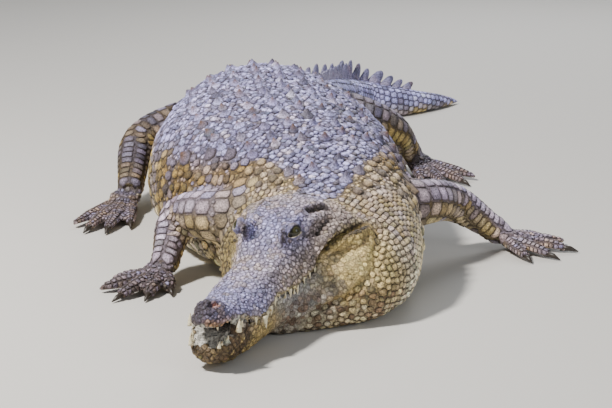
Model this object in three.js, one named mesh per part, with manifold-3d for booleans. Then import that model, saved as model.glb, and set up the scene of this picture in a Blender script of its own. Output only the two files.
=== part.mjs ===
// A life-size adult Nile crocodile at rest on a flat floor, as a still museum model.
// Millimetres, +Z up. The snout points to -Y, the animal's left side is +X, and the origin is
// on the floor under the middle of the animal's bounding box.
import * as THREE from "three";
import { mergeVertices } from "three/addons/utils/BufferGeometryUtils.js";
import Module from "manifold-3d";

const wasm = await Module();
wasm.setup();

// ---- Driving sizes -------------------------------------------------------------------------

const CUT = 0.6; // width of the thin cuts that part one sub-part from the next
const SIMPLIFY = 0.4; // facets this close to flat are made one
const EYE_RADIUS = 19;
const EYE_CENTRE = { along: 392, side: 71, height: 262 };
const CLAW_LENGTH = 34;
const JAW_SINK = 14; // how far the jaw's rounded underside is pressed flat against the floor

// Stations of the body from the neck to the tail's tip: the middle of the body on the floor,
// half of its width, the height of its back, and how boxy its section is (1 is an ellipse).
const BODY = [
  { x: -146, y: -1395, half: 70, top: 80, boxy: 0.95 },
  { x: -94, y: -1285, half: 182, top: 172, boxy: 0.95 },
  { x: -22, y: -1160, half: 268, top: 272, boxy: 0.94 },
  { x: 12, y: -1010, half: 270, top: 328, boxy: 0.92 },
  { x: -6, y: -830, half: 292, top: 370, boxy: 0.92 },
  { x: -62, y: -630, half: 346, top: 404, boxy: 0.92 },
  { x: -122, y: -380, half: 384, top: 428, boxy: 0.94 },
  { x: -152, y: -130, half: 366, top: 442, boxy: 0.98 },
  { x: -172, y: 70, half: 314, top: 440, boxy: 1.0 },
  { x: -170, y: 240, half: 252, top: 402, boxy: 1.0 },
  { x: -125, y: 470, half: 190, top: 338, boxy: 0.92 },
  { x: -45, y: 720, half: 146, top: 284, boxy: 0.86 },
  { x: 25, y: 970, half: 114, top: 238, boxy: 0.82 },
  { x: 92, y: 1215, half: 90, top: 192, boxy: 0.8 },
  { x: 178, y: 1375, half: 72, top: 156, boxy: 0.8 },
  { x: 300, y: 1442, half: 58, top: 120, boxy: 0.82 },
  { x: 420, y: 1535, half: 44, top: 86, boxy: 0.86 },
  { x: 515, y: 1630, half: 31, top: 56, boxy: 0.9 },
  { x: 585, y: 1705, half: 9, top: 22, boxy: 0.95 },
];
const WIDEST_AT = 0.38; // share of the back's height at which the body is widest
const BELLY_BOXY = 0.72; // how boxy the sections are below their widest place
const BELLY_SINK = 0.26; // share of that lower part that is pressed flat against the floor

// The head's own frame: where the snout's tip stands over the floor, and the way back from it.
const SNOUT = new THREE.Vector2(-281, -1725);
const HEAD_TURN = Math.atan2(0.38, 0.925);
const HEAD_END = 615; // where the head is parted from the neck

// Profiles along the head, as [distance behind the snout's tip, value].
const SKULL_HALF = [
  [0, 12], [14, 29], [45, 44], [80, 48], [114, 48], [150, 66], [185, 83], [222, 84], [262, 78],
  [305, 79], [350, 86], [400, 97], [450, 113], [500, 135], [550, 155], [600, 168], [680, 172],
];
const SKULL_TOP = [
  [0, 128], [14, 148], [45, 166], [72, 166], [110, 158], [200, 168], [300, 190], [350, 212],
  [390, 246], [440, 284], [490, 300], [560, 302], [600, 300], [680, 300],
];
const LIP = [
  [0, 116], [20, 110], [40, 106], [60, 110], [80, 115], [114, 112], [150, 101], [182, 95], [222, 110], [265, 128],
  [310, 122], [370, 118], [420, 130], [470, 148], [520, 172], [580, 186], [680, 190],
];
const JAW_HALF = [
  [22, 31], [36, 46], [66, 54], [110, 58], [160, 63], [220, 72], [300, 80], [380, 94], [450, 124],
  [510, 162], [560, 190], [620, 204], [680, 206],
];
const JAW_FLOOR = [
  [22, 40], [60, 30], [100, 21], [140, 17], [200, 15], [300, 20], [400, 20], [460, 14], [680, 14],
];
const GAPE = 56; // how far the jaws stand apart at the tip
const GAPE_END = 262; // where they meet
const GAPE_CURVE = 4.2;
const LIP_GAP = 1.6; // what is left between closed lips
const MOUTH_DEPTH = 16; // how far the mouth's floor lies below its rim

const LIMBS = {
  foreleg_left: {
    joints: [[120, -800, 195], [255, -762, 182], [385, -615, 150], [532, -574, 46]],
    radii: [80, 72, 60, 38], ankle: 60,
    toes: [[600, -738], [680, -706], [742, -622], [726, -534], [664, -470]],
    claws: 3, toe: 17, palm: 46,
  },
  foreleg_right: {
    joints: [[-140, -940, 195], [-262, -945, 190], [-384, -832, 158], [-422, -950, 46]],
    radii: [80, 74, 62, 39], ankle: 60,
    toes: [[-392, -1068], [-458, -1116], [-540, -1122], [-588, -1036], [-566, -952]],
    claws: 3, toe: 17, palm: 46,
  },
  hindleg_left: {
    joints: [[-60, 250, 225], [80, 292, 222], [240, 318, 178], [330, 452, 54]],
    radii: [104, 94, 66, 40], ankle: 66,
    toes: [[352, 236], [428, 204], [502, 218], [536, 300]],
    claws: 3, toe: 19, palm: 52,
  },
  hindleg_right: {
    joints: [[-310, 150, 225], [-425, 152, 214], [-566, 62, 180], [-588, -104, 58]],
    radii: [104, 94, 68, 41], ankle: 66,
    toes: [[-566, -352], [-634, -412], [-698, -402], [-742, -340]],
    claws: 3, toe: 19, palm: 52,
  },
};

// The crest of the tail: two rows that rise backwards and join, then one row that sinks again.
const CREST = { start: 0.515, join: 0.74, end: 0.88, plates: 19, low: 14, tall: 64, foot: 18, edge: 6 };
const TEETH = { upper: 12, lower: 10, length: 17, width: 6, first: 14, last: 486 };

const COLOURS = {
  hide: 0x74724f, claw: 0x3a322b, eye: 0x6b6a34,
};

// ---- Shapes --------------------------------------------------------------------------------

// A value read from a profile of [place, value] pairs, with smooth slopes between them.
function profile(pairs, at) {
  const last = pairs.length - 1;
  if (at <= pairs[0][0]) return pairs[0][1];
  if (at >= pairs[last][0]) return pairs[last][1];
  let i = 0;
  while (pairs[i + 1][0] < at) i += 1;
  const slope = (k) => {
    const [before, after] = [pairs[Math.max(k - 1, 0)], pairs[Math.min(k + 1, last)]];
    return (after[1] - before[1]) / (after[0] - before[0]);
  };
  const width = pairs[i + 1][0] - pairs[i][0];
  const s = (at - pairs[i][0]) / width;
  const [s2, s3] = [s * s, s * s * s];
  return (
    pairs[i][1] * (2 * s3 - 3 * s2 + 1) +
    slope(i) * width * (s3 - 2 * s2 + s) +
    pairs[i + 1][1] * (3 * s2 - 2 * s3) +
    slope(i + 1) * width * (s3 - s2)
  );
}

const signedPower = (value, power) => Math.sign(value) * Math.abs(value) ** power;

// A closed tube whose every vertex is placed by place(along 0..1, across, up), where across and
// up run round the unit circle, and are both 0 at the middle of each end.
function formedTube(sides, rings, place) {
  const geometry = new THREE.CylinderGeometry(1, 1, 1, sides, rings);
  const position = geometry.getAttribute("position");
  for (let i = 0; i < position.count; i += 1) {
    const point = place(position.getY(i) + 0.5, position.getX(i), position.getZ(i));
    position.setXYZ(i, point.x, point.y, point.z);
  }
  return geometry;
}

function solid(geometry) {
  const bare = new THREE.BufferGeometry();
  bare.setAttribute("position", geometry.getAttribute("position"));
  if (geometry.index) bare.setIndex(geometry.index);
  const merged = mergeVertices(bare, 1e-3);
  const mesh = new wasm.Mesh({
    numProp: 3,
    vertProperties: new Float32Array(merged.getAttribute("position").array),
    triVerts: new Uint32Array(merged.index.array),
  });
  return new wasm.Manifold(mesh);
}

function joined(solids) {
  return solids.reduce((whole, next) => whole.add(next));
}

// The part of a solid that lies beyond a plane, in the plane's direction.
function beyond(whole, point, direction, gap = CUT / 2) {
  const d = direction.clone().normalize();
  return whole.trimByPlane([d.x, d.y, d.z], d.dot(point) + gap);
}

function largest(whole) {
  return whole.decompose().reduce((best, next) => (next.volume() > best.volume() ? next : best));
}

// ---- Body ----------------------------------------------------------------------------------

const spine = new THREE.CatmullRomCurve3(
  BODY.map((s) => new THREE.Vector3(s.x, s.y, 0)), false, "centripetal");
const girth = new THREE.CatmullRomCurve3(
  BODY.map((s) => new THREE.Vector3(s.half, s.top, s.boxy * 100)), false, "catmullrom", 0.4);
const UP = new THREE.Vector3(0, 0, 1);
const DOWN = new THREE.Vector3(0, 0, -1);

// The body's frame at a share of its stations: middle, way back, way to the left, and sizes.
function bodyAt(t) {
  const middle = spine.getPoint(t);
  const back = spine.getTangent(t).setZ(0).normalize();
  const left = back.clone().cross(UP);
  const size = girth.getPoint(t);
  return { middle, back, left, half: size.x, top: size.y, boxy: size.z / 100 };
}

// A point on the body's surface, at an across and up on the unit circle.
function onBody(t, across, up, grow = 0) {
  const { middle, left, half, top, boxy } = bodyAt(t);
  const widest = top * WIDEST_AT;
  const power = up >= 0 ? boxy : BELLY_BOXY;
  const side = (half + grow) * signedPower(across, power);
  const drop = widest * (1 + BELLY_SINK) + grow;
  const rise = up >= 0 ? (top + grow - widest) * up ** power : -drop * (-up) ** power;
  return middle.clone().addScaledVector(left, side).setZ(Math.max(widest + rise, -grow));
}

function bodySolid(grow = 0) {
  return solid(formedTube(20, 32, (t, across, up) => onBody(t, across, up, grow)));
}

// One plate of the tail's crest: a wedge that leans back, wide at its foot and thin at its edge.
function crestPlate(t, across, height, length) {
  const { back, left } = bodyAt(t);
  const foot = onBody(t, across, Math.sqrt(1 - across * across));
  const outline = new THREE.Shape();
  outline.moveTo(-0.5 * length, -12);
  outline.lineTo(0.5 * length, -12);
  outline.lineTo(0.6 * length, height);
  outline.lineTo(-0.5 * length, 2);
  const fin = new THREE.ExtrudeGeometry(outline, { depth: 1, bevelEnabled: false });
  const position = fin.getAttribute("position");
  for (let i = 0; i < position.count; i += 1) {
    const rise = THREE.MathUtils.clamp(position.getY(i) / height, 0, 1);
    const width = THREE.MathUtils.lerp(CREST.foot, CREST.edge, rise);
    position.setZ(i, (position.getZ(i) - 0.5) * width);
  }
  fin.applyMatrix4(new THREE.Matrix4().makeBasis(back, UP, back.clone().cross(UP)));
  const lean = left.multiplyScalar(across * height * 0.3);
  fin.translate(foot.x + lean.x, foot.y + lean.y, foot.z);
  return solid(fin);
}

// How far a plate stands up at a share of the tail, and how far the two rows stand apart there.
function crestHeight(t) {
  const { start, join, end, low, tall } = CREST;
  const rising = (t - start) / (join - start);
  const sinking = (t - join) / (end - join);
  return t < join
    ? THREE.MathUtils.lerp(low, tall, rising ** 1.4)
    : THREE.MathUtils.lerp(tall, low, sinking ** 1.2);
}

function crest() {
  const pitch = (CREST.end - CREST.start) / CREST.plates;
  const found = [];
  for (let i = 0; i < CREST.plates; i += 1) {
    const t = CREST.start + i * pitch;
    const step = spine.getPoint(t).distanceTo(spine.getPoint(t + pitch));
    const apart = (CREST.join - t) / (CREST.join - CREST.start);
    const spread = 0.62 * Math.max(apart, 0) ** 0.7;
    const sides = spread > 0.08 ? [-spread, spread] : [0];
    sides.forEach((across) => found.push(crestPlate(t, across, crestHeight(t), step * 0.86)));
  }
  return found;
}

// ---- Head ----------------------------------------------------------------------------------

const headBack = new THREE.Vector3(Math.sin(HEAD_TURN), Math.cos(HEAD_TURN), 0);
const headLeft = new THREE.Vector3(Math.cos(HEAD_TURN), -Math.sin(HEAD_TURN), 0);

function inHead(along, side, height) {
  return new THREE.Vector3(SNOUT.x, SNOUT.y, height)
    .addScaledVector(headBack, along)
    .addScaledVector(headLeft, side);
}

// Rings crowd towards the snout's tip, where the shape turns quickest.
const headPlace = (t, start) => start + (680 - start) * (0.45 * t * t + 0.55 * t);

function braincase(grow) {
  return solid(formedTube(16, 20, (t, across, up) => {
    const along = headPlace(t, 0);
    const [half, top, lip] = [SKULL_HALF, SKULL_TOP, LIP].map((p) => profile(p, along));
    const palate = Math.min(14, half * 0.3) * Math.min(1, along / 30);
    const height = up >= 0 ? lip + (top - lip) * up ** 0.85 : lip + palate * -up;
    const rise = up > 0.01 ? grow * up : -grow;
    return inHead(along, (half + grow) * signedPower(across, 0.9), height + rise);
  }));
}

// The upper half of the head, with its brows, its skull table's edges and its raised nose.
function skullSolid(grow = 0) {
  return joined([
    braincase(grow),
    ...[-1, 1].map((s) => swelling(404, s * 55, 258, 50, 22, 28, grow)),
    ...[-1, 1].map((s) => swelling(520, s * 86, 268, 80, 26, 18, grow)),
    swelling(58, 0, 150, 44, 40, 24, grow),
  ]);
}

// The rim of the lower jaw follows the upper lip, and falls away from it where the mouth opens.
function jawRim(along) {
  const open = Math.max(1 - along / GAPE_END, 0) ** GAPE_CURVE * GAPE;
  return profile(LIP, along) - LIP_GAP - open;
}

function jawSolid() {
  return solid(formedTube(16, 18, (t, across, up) => {
    const along = headPlace(t, 28);
    const [half, floor] = [JAW_HALF, JAW_FLOOR].map((p) => profile(p, along));
    const rim = jawRim(along);
    const depth = Math.min(MOUTH_DEPTH, (rim - floor) * 0.45) * Math.min(1, along / 30);
    const height = up >= 0 ? rim - depth * up : rim - (rim - floor + JAW_SINK) * (-up) ** 0.85;
    return inHead(along, half * signedPower(across, 0.9), Math.max(height, 0));
  }));
}

// Brows over the eyes, the rounded nose and the bulge of the jaw muscle, as plain swellings.
function swelling(along, side, height, length, width, rise, grow) {
  const ball = new THREE.SphereGeometry(1, 10, 6);
  ball.applyMatrix4(new THREE.Matrix4().makeBasis(
    headBack.clone().multiplyScalar(length + grow), UP.clone().multiplyScalar(rise + grow),
    headLeft.clone().multiplyScalar(width + grow)));
  const at = inHead(along, side, height);
  ball.translate(at.x, at.y, at.z);
  return solid(ball);
}

function tooth(along, side, height, down, grow) {
  const cone = new THREE.ConeGeometry(TEETH.width + grow, TEETH.length * 1.5 + grow * 4, 4);
  cone.rotateX(down ? -Math.PI / 2 : Math.PI / 2);
  const at = inHead(along, side, height);
  cone.translate(at.x, at.y, at.z);
  return solid(cone);
}

function teeth(count, halfProfile, edge, down, grow = 0) {
  const found = [];
  for (let i = 0; i < count; i += 1) {
    const along = THREE.MathUtils.lerp(TEETH.first, TEETH.last, (i + (down ? 0.1 : 0.5)) / count);
    const half = profile(halfProfile, along) - (down ? 9 : 16);
    [-1, 1].forEach((s) => found.push(tooth(along, s * half, edge(along), down, grow)));
  }
  return found;
}

function eyeBall(side, radius) {
  const ball = new THREE.SphereGeometry(radius, 10, 7);
  const at = inHead(EYE_CENTRE.along, side * EYE_CENTRE.side, EYE_CENTRE.height);
  ball.translate(at.x, at.y, at.z);
  return solid(ball);
}

// ---- Limbs ---------------------------------------------------------------------------------

// A round tube along a curve, pressed flat where it would pass through the floor.
function limbTube(points, radii, sides, rings, flatten = 1) {
  const path = new THREE.CatmullRomCurve3(points, false, "centripetal");
  const sizes = radii.map((r, i) => [i / (radii.length - 1), r]);
  return solid(formedTube(sides, rings, (t, across, up) => {
    const along = path.getTangent(t);
    const sideways = along.clone().cross(UP).normalize();
    const upwards = sideways.clone().cross(along);
    const r = profile(sizes, t);
    const point = path.getPoint(t)
      .addScaledVector(sideways, across * r)
      .addScaledVector(upwards, up * r * flatten);
    return point.setZ(Math.max(point.z, 0));
  }));
}

const at = (p) => new THREE.Vector3(p[0], p[1], p[2]);

// A toe from the middle of the foot to its tip, arched over its knuckle.
function toeSolid(heel, tip, size, clawed) {
  const end = new THREE.Vector3(tip[0], tip[1], size * 0.8);
  const away = end.clone().sub(heel).setZ(0);
  const length = away.length();
  away.normalize();
  const stop = end.clone().addScaledVector(away, clawed ? -CLAW_LENGTH * 0.7 : 0);
  const root = heel.clone().addScaledVector(away, length * 0.12).setZ(size * 2.1);
  const knuckle = heel.clone().addScaledVector(away, length * 0.58).setZ(size * 1.5);
  const radii = [size * 1.45, size * 1.3, size * 1.15, size * (clawed ? 0.8 : 0.5)];
  const flesh = limbTube([root, knuckle, stop], radii, 6, 3, 0.9);
  const claw = limbTube(
    [
      stop.clone().addScaledVector(away, CUT).setZ(size * 0.8),
      stop.clone().addScaledVector(away, CLAW_LENGTH * 0.5).setZ(size * 0.74),
      stop.clone().addScaledVector(away, CLAW_LENGTH).setZ(size * 0.28),
    ],
    [size * 0.6, size * 0.46, size * 0.1], 5, 2);
  return { flesh: beyond(flesh, stop, away.clone().negate(), 0), claw: beyond(claw, stop, away, CUT) };
}

function limb(name, spec) {
  const points = spec.joints.map(at);
  const whole = limbTube(points, spec.radii, 10, 12);
  const count = points.length - 1;
  const path = new THREE.CatmullRomCurve3(points, false, "centripetal");
  const plane = (k) => [path.getPoint(k / count), path.getTangent(k / count)];
  const ankle = new THREE.Vector3(0, 0, spec.ankle);
  const heel = points[count].clone().setZ(0);
  const toes = spec.toes.map((tip, i) => toeSolid(heel, tip, spec.toe, i < spec.claws));
  const tips = spec.toes.map(([x, y]) => new THREE.Vector3(x, y, 0));
  const spread = tips.reduce((sum, tip) => sum.add(tip), new THREE.Vector3());
  const middle = spread.divideScalar(tips.length).lerp(heel, 0.62).setZ(spec.toe * 1.6);
  const palm = limbTube(
    [points[count].clone().lerp(points[count - 1], 0.12), middle],
    [spec.radii[count] * 0.98, spec.palm * 1.02, spec.palm * 0.6], 10, 6, 0.62);
  const [hip, knee] = [plane(1), plane(2)];
  const stub = beyond(whole, hip[0], hip[1].clone().negate());
  const thigh = beyond(beyond(whole, ...hip), knee[0], knee[1].clone().negate());
  const shin = beyond(beyond(whole, ...knee), ankle, UP);
  const foot = beyond(joined([whole, palm, ...toes.map((toe) => toe.flesh)]), ankle, DOWN);
  const claws = Object.fromEntries(
    toes.slice(0, spec.claws).map((toe, i) => [`claw_${name}_${i + 1}`, toe.claw]));
  return { stub, thigh, shin, foot, claws };
}

// ---- The whole animal ----------------------------------------------------------------------

const MATERIALS = {
  hide: new THREE.MeshStandardMaterial({ color: COLOURS.hide, roughness: 0.75, metalness: 0 }),
  claw: new THREE.MeshStandardMaterial({ color: COLOURS.claw, roughness: 0.45, metalness: 0 }),
  eye: new THREE.MeshStandardMaterial({ color: COLOURS.eye, roughness: 0.08, metalness: 0 }),
};

const crocodile = new THREE.Group();
crocodile.name = "crocodile";

function addPart(name, piece, material) {
  const { numProp, vertProperties, triVerts } = piece.simplify(SIMPLIFY).getMesh();
  const geometry = new THREE.BufferGeometry();
  const count = vertProperties.length / numProp;
  const position = new Float32Array(count * 3);
  for (let i = 0; i < count; i += 1) {
    position.set(vertProperties.subarray(i * numProp, i * numProp + 3), i * 3);
  }
  geometry.setAttribute("position", new THREE.BufferAttribute(position, 3));
  geometry.setIndex(new THREE.BufferAttribute(new Uint32Array(triVerts), 1));
  geometry.computeVertexNormals();
  const mesh = new THREE.Mesh(geometry, MATERIALS[material]);
  mesh.name = name;
  crocodile.add(mesh);
}

const limbs = Object.fromEntries(Object.entries(LIMBS).map(([name, spec]) => [name, limb(name, spec)]));
const skull = skullSolid();
const jaw = jawSolid();
const torso = bodySolid();
const headPlane = [inHead(HEAD_END, 0, 0), headBack];
const frontOfHead = (piece) => beyond(piece, headPlane[0], headPlane[1].clone().negate());
const stubs = Object.values(limbs).map((l) => l.stub);
const fleshBehindHead = beyond(joined([torso, skull, jaw, ...stubs]), ...headPlane);
const body = joined([fleshBehindHead, ...crest()]);

// Planes across the spine that part the body into its lengths.
const LENGTHS = [
  ["neck", 0, 0.215], ["trunk_front", 0.215, 0.36], ["trunk_rear", 0.36, 0.52],
  ["tail_base", 0.52, 0.63], ["tail_middle", 0.63, 0.74], ["tail_rear", 0.74, 0.85], ["tail_tip", 0.85, 1],
];
LENGTHS.forEach(([name, from, to]) => {
  let piece = body;
  if (from > 0) piece = beyond(piece, bodyAt(from).middle, bodyAt(from).back);
  if (to < 1) piece = beyond(piece, bodyAt(to).middle, bodyAt(to).back.negate());
  addPart(name, largest(piece), "hide");
});

const eyes = { eye_left: 1, eye_right: -1 };
const sockets = Object.values(eyes).map((s) => eyeBall(s, EYE_RADIUS + CUT));
const upperTeeth = (grow) => teeth(TEETH.upper, SKULL_HALF, (a) => profile(LIP, a) + 4, true, grow);
const lowerTeeth = teeth(TEETH.lower, JAW_HALF, (a) => jawRim(a) - 3, false);
const headPiece = joined([skull, ...upperTeeth(0)]).subtract(joined(sockets));
const jawPiece = joined([jaw, torso, ...lowerTeeth])
  .subtract(joined([skullSolid(LIP_GAP), ...upperTeeth(LIP_GAP)]))
  .subtract(skull.translate([0, 0, -CUT]));
addPart("head", largest(frontOfHead(headPiece)), "hide");
addPart("lower_jaw", largest(frontOfHead(jawPiece)), "hide");
Object.entries(eyes).forEach(([name, s]) => addPart(name, eyeBall(s, EYE_RADIUS), "eye"));

const clearance = bodySolid(CUT);
Object.entries(limbs).forEach(([name, parts]) => {
  const [thighName, shinName] = name.startsWith("fore") ? ["upper_arm", "forearm"] : ["thigh", "shank"];
  addPart(`${name}_${thighName}`, largest(parts.thigh.subtract(clearance)), "hide");
  addPart(`${name}_${shinName}`, largest(parts.shin.subtract(clearance)), "hide");
  addPart(`${name}_foot`, largest(parts.foot), "hide");
  Object.entries(parts.claws).forEach(([clawName, claw]) => addPart(clawName, claw, "claw"));
});

export default crocodile;
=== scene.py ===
"""A life-size adult Nile crocodile at rest, as a still museum model: hide, scales, eyes, teeth and claws."""

import math

import bmesh
import bpy
import numpy as np
from bpy.props import FloatProperty, FloatVectorProperty, IntProperty, PointerProperty
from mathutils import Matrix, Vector
from mathutils.bvhtree import BVHTree
from mathutils.kdtree import KDTree


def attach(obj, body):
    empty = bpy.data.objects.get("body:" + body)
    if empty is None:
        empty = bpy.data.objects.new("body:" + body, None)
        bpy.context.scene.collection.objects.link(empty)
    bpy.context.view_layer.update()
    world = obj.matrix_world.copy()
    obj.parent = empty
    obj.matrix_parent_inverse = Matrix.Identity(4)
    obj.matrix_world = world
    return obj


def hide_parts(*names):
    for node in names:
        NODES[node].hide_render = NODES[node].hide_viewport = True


bl_info = {
    "name": "Nile crocodile",
    "version": (1, 0, 0),
    "blender": (4, 5, 0),
    "location": "3D View > Sidebar > Crocodile",
    "description": "Builds the hide, scales, eyes, teeth and claws of a resting crocodile",
    "category": "Object",
}

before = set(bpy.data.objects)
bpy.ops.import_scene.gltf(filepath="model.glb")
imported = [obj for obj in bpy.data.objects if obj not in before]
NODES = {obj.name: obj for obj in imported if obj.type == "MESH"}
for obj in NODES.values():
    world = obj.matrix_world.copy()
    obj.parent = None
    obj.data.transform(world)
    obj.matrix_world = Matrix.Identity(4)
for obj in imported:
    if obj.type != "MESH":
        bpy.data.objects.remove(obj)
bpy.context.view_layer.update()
FLESH = [n for n in sorted(NODES) if not n.startswith(("claw", "eye"))]
CLAWS = [n for n in sorted(NODES) if n.startswith("claw")]

# ---- The animal's own lines, in metres -----------------------------------------------------

# The middle of the body from the throat to the tail's tip: x, y, half of the width, height of the back.
BODY_LINE = np.array([
    (-0.146, -1.395, 0.070, 0.080), (-0.094, -1.285, 0.182, 0.172), (-0.022, -1.160, 0.268, 0.272),
    (0.012, -1.010, 0.270, 0.328), (-0.006, -0.830, 0.292, 0.370), (-0.062, -0.630, 0.346, 0.404),
    (-0.122, -0.380, 0.384, 0.428), (-0.152, -0.130, 0.366, 0.442), (-0.172, 0.070, 0.314, 0.440),
    (-0.170, 0.240, 0.252, 0.402), (-0.125, 0.470, 0.190, 0.338), (-0.045, 0.720, 0.146, 0.284),
    (0.025, 0.970, 0.114, 0.238), (0.092, 1.215, 0.090, 0.192), (0.178, 1.375, 0.072, 0.156),
    (0.300, 1.442, 0.058, 0.120), (0.420, 1.535, 0.044, 0.086), (0.515, 1.630, 0.031, 0.056),
    (0.585, 1.705, 0.009, 0.022),
])
SPAN_STEPS = 24  # samples between two of those sections
LINE_STEPS = SPAN_STEPS * (len(BODY_LINE) - 1)
BODY_CORE = 0.42  # share of the back's height where the rays of a section start
TRUNK_START, TRUNK_MIDDLE, HIPS, TAIL_END = 0.62, 1.10, 1.66, 3.40  # along that line
TAIL_START = HIPS + 0.06

# The head's own frame: the snout's tip on the floor, and the way back and to its left.
SNOUT = np.array([-0.281, -1.725])
HEAD_TURN = math.atan2(0.38, 0.925)
HEAD_BACK = np.array([math.sin(HEAD_TURN), math.cos(HEAD_TURN), 0.0])
HEAD_LEFT = np.array([math.cos(HEAD_TURN), -math.sin(HEAD_TURN), 0.0])
HEAD_LENGTH = 0.63

# Height of the lip, and half of the width of the upper and lower jaw, along the head.
LIP = [
    (0, .116), (.020, .110), (.040, .106), (.060, .110), (.080, .115), (.114, .112), (.150, .101),
    (.182, .095), (.222, .110), (.265, .128), (.310, .123), (.367, .124), (.396, .138), (.434, .151),
    (.446, .160), (.458, .184), (.490, .213), (.556, .231), (.630, .240),
]
SKULL_HALF = [
    (0, .012), (.014, .029), (.045, .044), (.080, .048), (.114, .048), (.150, .066), (.185, .083),
    (.222, .084), (.262, .078), (.305, .079), (.350, .086), (.400, .097), (.450, .113), (.500, .135),
    (.550, .155), (.600, .168),
]
JAW_HALF = [
    (.022, .031), (.036, .046), (.066, .054), (.110, .058), (.160, .063), (.220, .072), (.300, .080),
    (.380, .094), (.450, .124), (.510, .162), (.560, .190), (.620, .204),
]
GAPE, GAPE_END, GAPE_CURVE = 0.056, 0.262, 4.2

EYE_ALONG, EYE_SIDE, EYE_HEIGHT = 0.392, 0.071, 0.262

# Half of the breadth of the wrinkled blue-grey back, along the body.
DORSAL = (
    [0.0, 0.30, 0.385, 0.486, 0.53, 0.668, 0.78, 0.919, 1.11, 1.4, 1.66, 1.9],
    [0.03, 0.045, 0.060, 0.105, 0.120, 0.212, 0.255, 0.305, 0.340, 0.31, 0.24, 0.16],
)

# Each limb's bones from the trunk to the foot, with the flesh's radius, then its toes' tips.
LIMBS = {
    "foreleg_left": (
        [(.120, -.800, .195, .080), (.255, -.762, .182, .072),
         (.385, -.615, .150, .060), (.532, -.574, .046, .038)],
        [(.600, -.738), (.680, -.706), (.742, -.622), (.726, -.534), (.664, -.470)], .017),
    "foreleg_right": (
        [(-.140, -.940, .195, .080), (-.262, -.945, .190, .074),
         (-.384, -.832, .158, .062), (-.422, -.950, .046, .039)],
        [(-.392, -1.068), (-.458, -1.116), (-.540, -1.122), (-.588, -1.036), (-.566, -.952)], .017),
    "hindleg_left": (
        [(-.060, .250, .225, .104), (.080, .292, .222, .094),
         (.240, .318, .178, .066), (.330, .452, .054, .040)],
        [(.352, .236), (.428, .204), (.502, .218), (.536, .300)], .019),
    "hindleg_right": (
        [(-.310, .150, .225, .104), (-.425, .152, .214, .094),
         (-.566, .062, .180, .068), (-.588, -.104, .058, .041)],
        [(-.566, -.352), (-.634, -.412), (-.698, -.402), (-.742, -.340)], .019),
}


def length_property(name, description, value):
    return FloatProperty(name=name, description=description, default=value, unit="LENGTH")


class CrocodileSizes(bpy.types.PropertyGroup):
    """Sizes of the skin, the scales and the eyes."""

    voxel: length_property("Skin grain", "Edge of the skin's facets", 0.010)
    coat_depth: length_property("Coat depth", "How far the skin lies inside the scales' tops", 0.0035)
    keel: length_property("Keel", "Height of a back scute's keel", 0.026)
    limb: length_property("Limb scale", "Width of a limb scale", 0.044)
    throat: length_property("Throat scale", "Width of a throat scale", 0.017)
    head: length_property("Head scale", "Width of the small plates of the head", 0.0079)
    eye: length_property("Eyeball", "Radius of an eyeball", 0.019)
    seed: IntProperty(name="Seed", description="Seed of the scales' irregularity", default=7)


def colour_property(name, description, value):
    return FloatVectorProperty(name=name, description=description, default=value, size=3, subtype="COLOR")


class CrocodileColours(bpy.types.PropertyGroup):
    """Colours of the hide and of the small parts, in linear light."""

    back: colour_property("Back", "Blue-grey of the back and of the top of the head", (0.275, 0.262, 0.480))
    olive: colour_property("Olive", "Olive-yellow of the shoulders and flanks", (0.335, 0.240, 0.075))
    cream: colour_property("Cream", "Pale yellow of the throat and belly", (0.70, 0.60, 0.34))
    slate: colour_property("Slate", "Dark bands of the limbs, tail and flanks", (0.085, 0.085, 0.150))
    gap: colour_property("Gap", "Brown skin between the scales", (0.030, 0.018, 0.012))
    rust: colour_property("Rust", "Tips of the keels and mottling of the jaw", (0.16, 0.07, 0.03))
    nose: colour_property("Nose", "Dark tip of the snout", (0.046, 0.034, 0.046))
    mouth: colour_property("Mouth", "Lining of the mouth", (0.47, 0.45, 0.40))
    tooth: colour_property("Tooth", "Ivory of the teeth", (0.80, 0.72, 0.50))
    horn: colour_property("Horn", "Dark horn of the claws", (0.030, 0.022, 0.017))
    iris: colour_property("Iris", "Dark olive of the eyes", (0.040, 0.038, 0.014))


# ---- Helpers -------------------------------------------------------------------------------

UP = np.array([0.0, 0.0, 1.0])


def smooth_step(low, high, value):
    t = np.clip((value - low) / (high - low), 0.0, 1.0)
    return t * t * (3 - 2 * t)


def along_profile(pairs, at):
    """Values of a profile of (place, value) pairs."""
    return np.interp(at, [p[0] for p in pairs], [p[1] for p in pairs])


def wobble(points, scale, seed, octaves=3):
    """A smooth irregular value of about -1 to 1 at each point, from summed waves."""
    rng = np.random.default_rng(seed)
    total = np.zeros(len(points))
    reach = 0.0
    for octave in range(octaves):
        frequency = 2 * math.pi / scale * 1.9**octave
        strength = 0.6**octave
        for _ in range(5):
            way = rng.normal(size=3)
            way /= np.linalg.norm(way)
            total += strength * np.sin(points @ way * frequency * rng.uniform(0.7, 1.3) + rng.uniform(0, 6.3))
        reach += strength * 2.2
    return total / reach


def mix(a, b, share):
    share = np.asarray(share)[..., None]
    return np.asarray(a) * (1 - share) + np.asarray(b) * share


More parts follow.
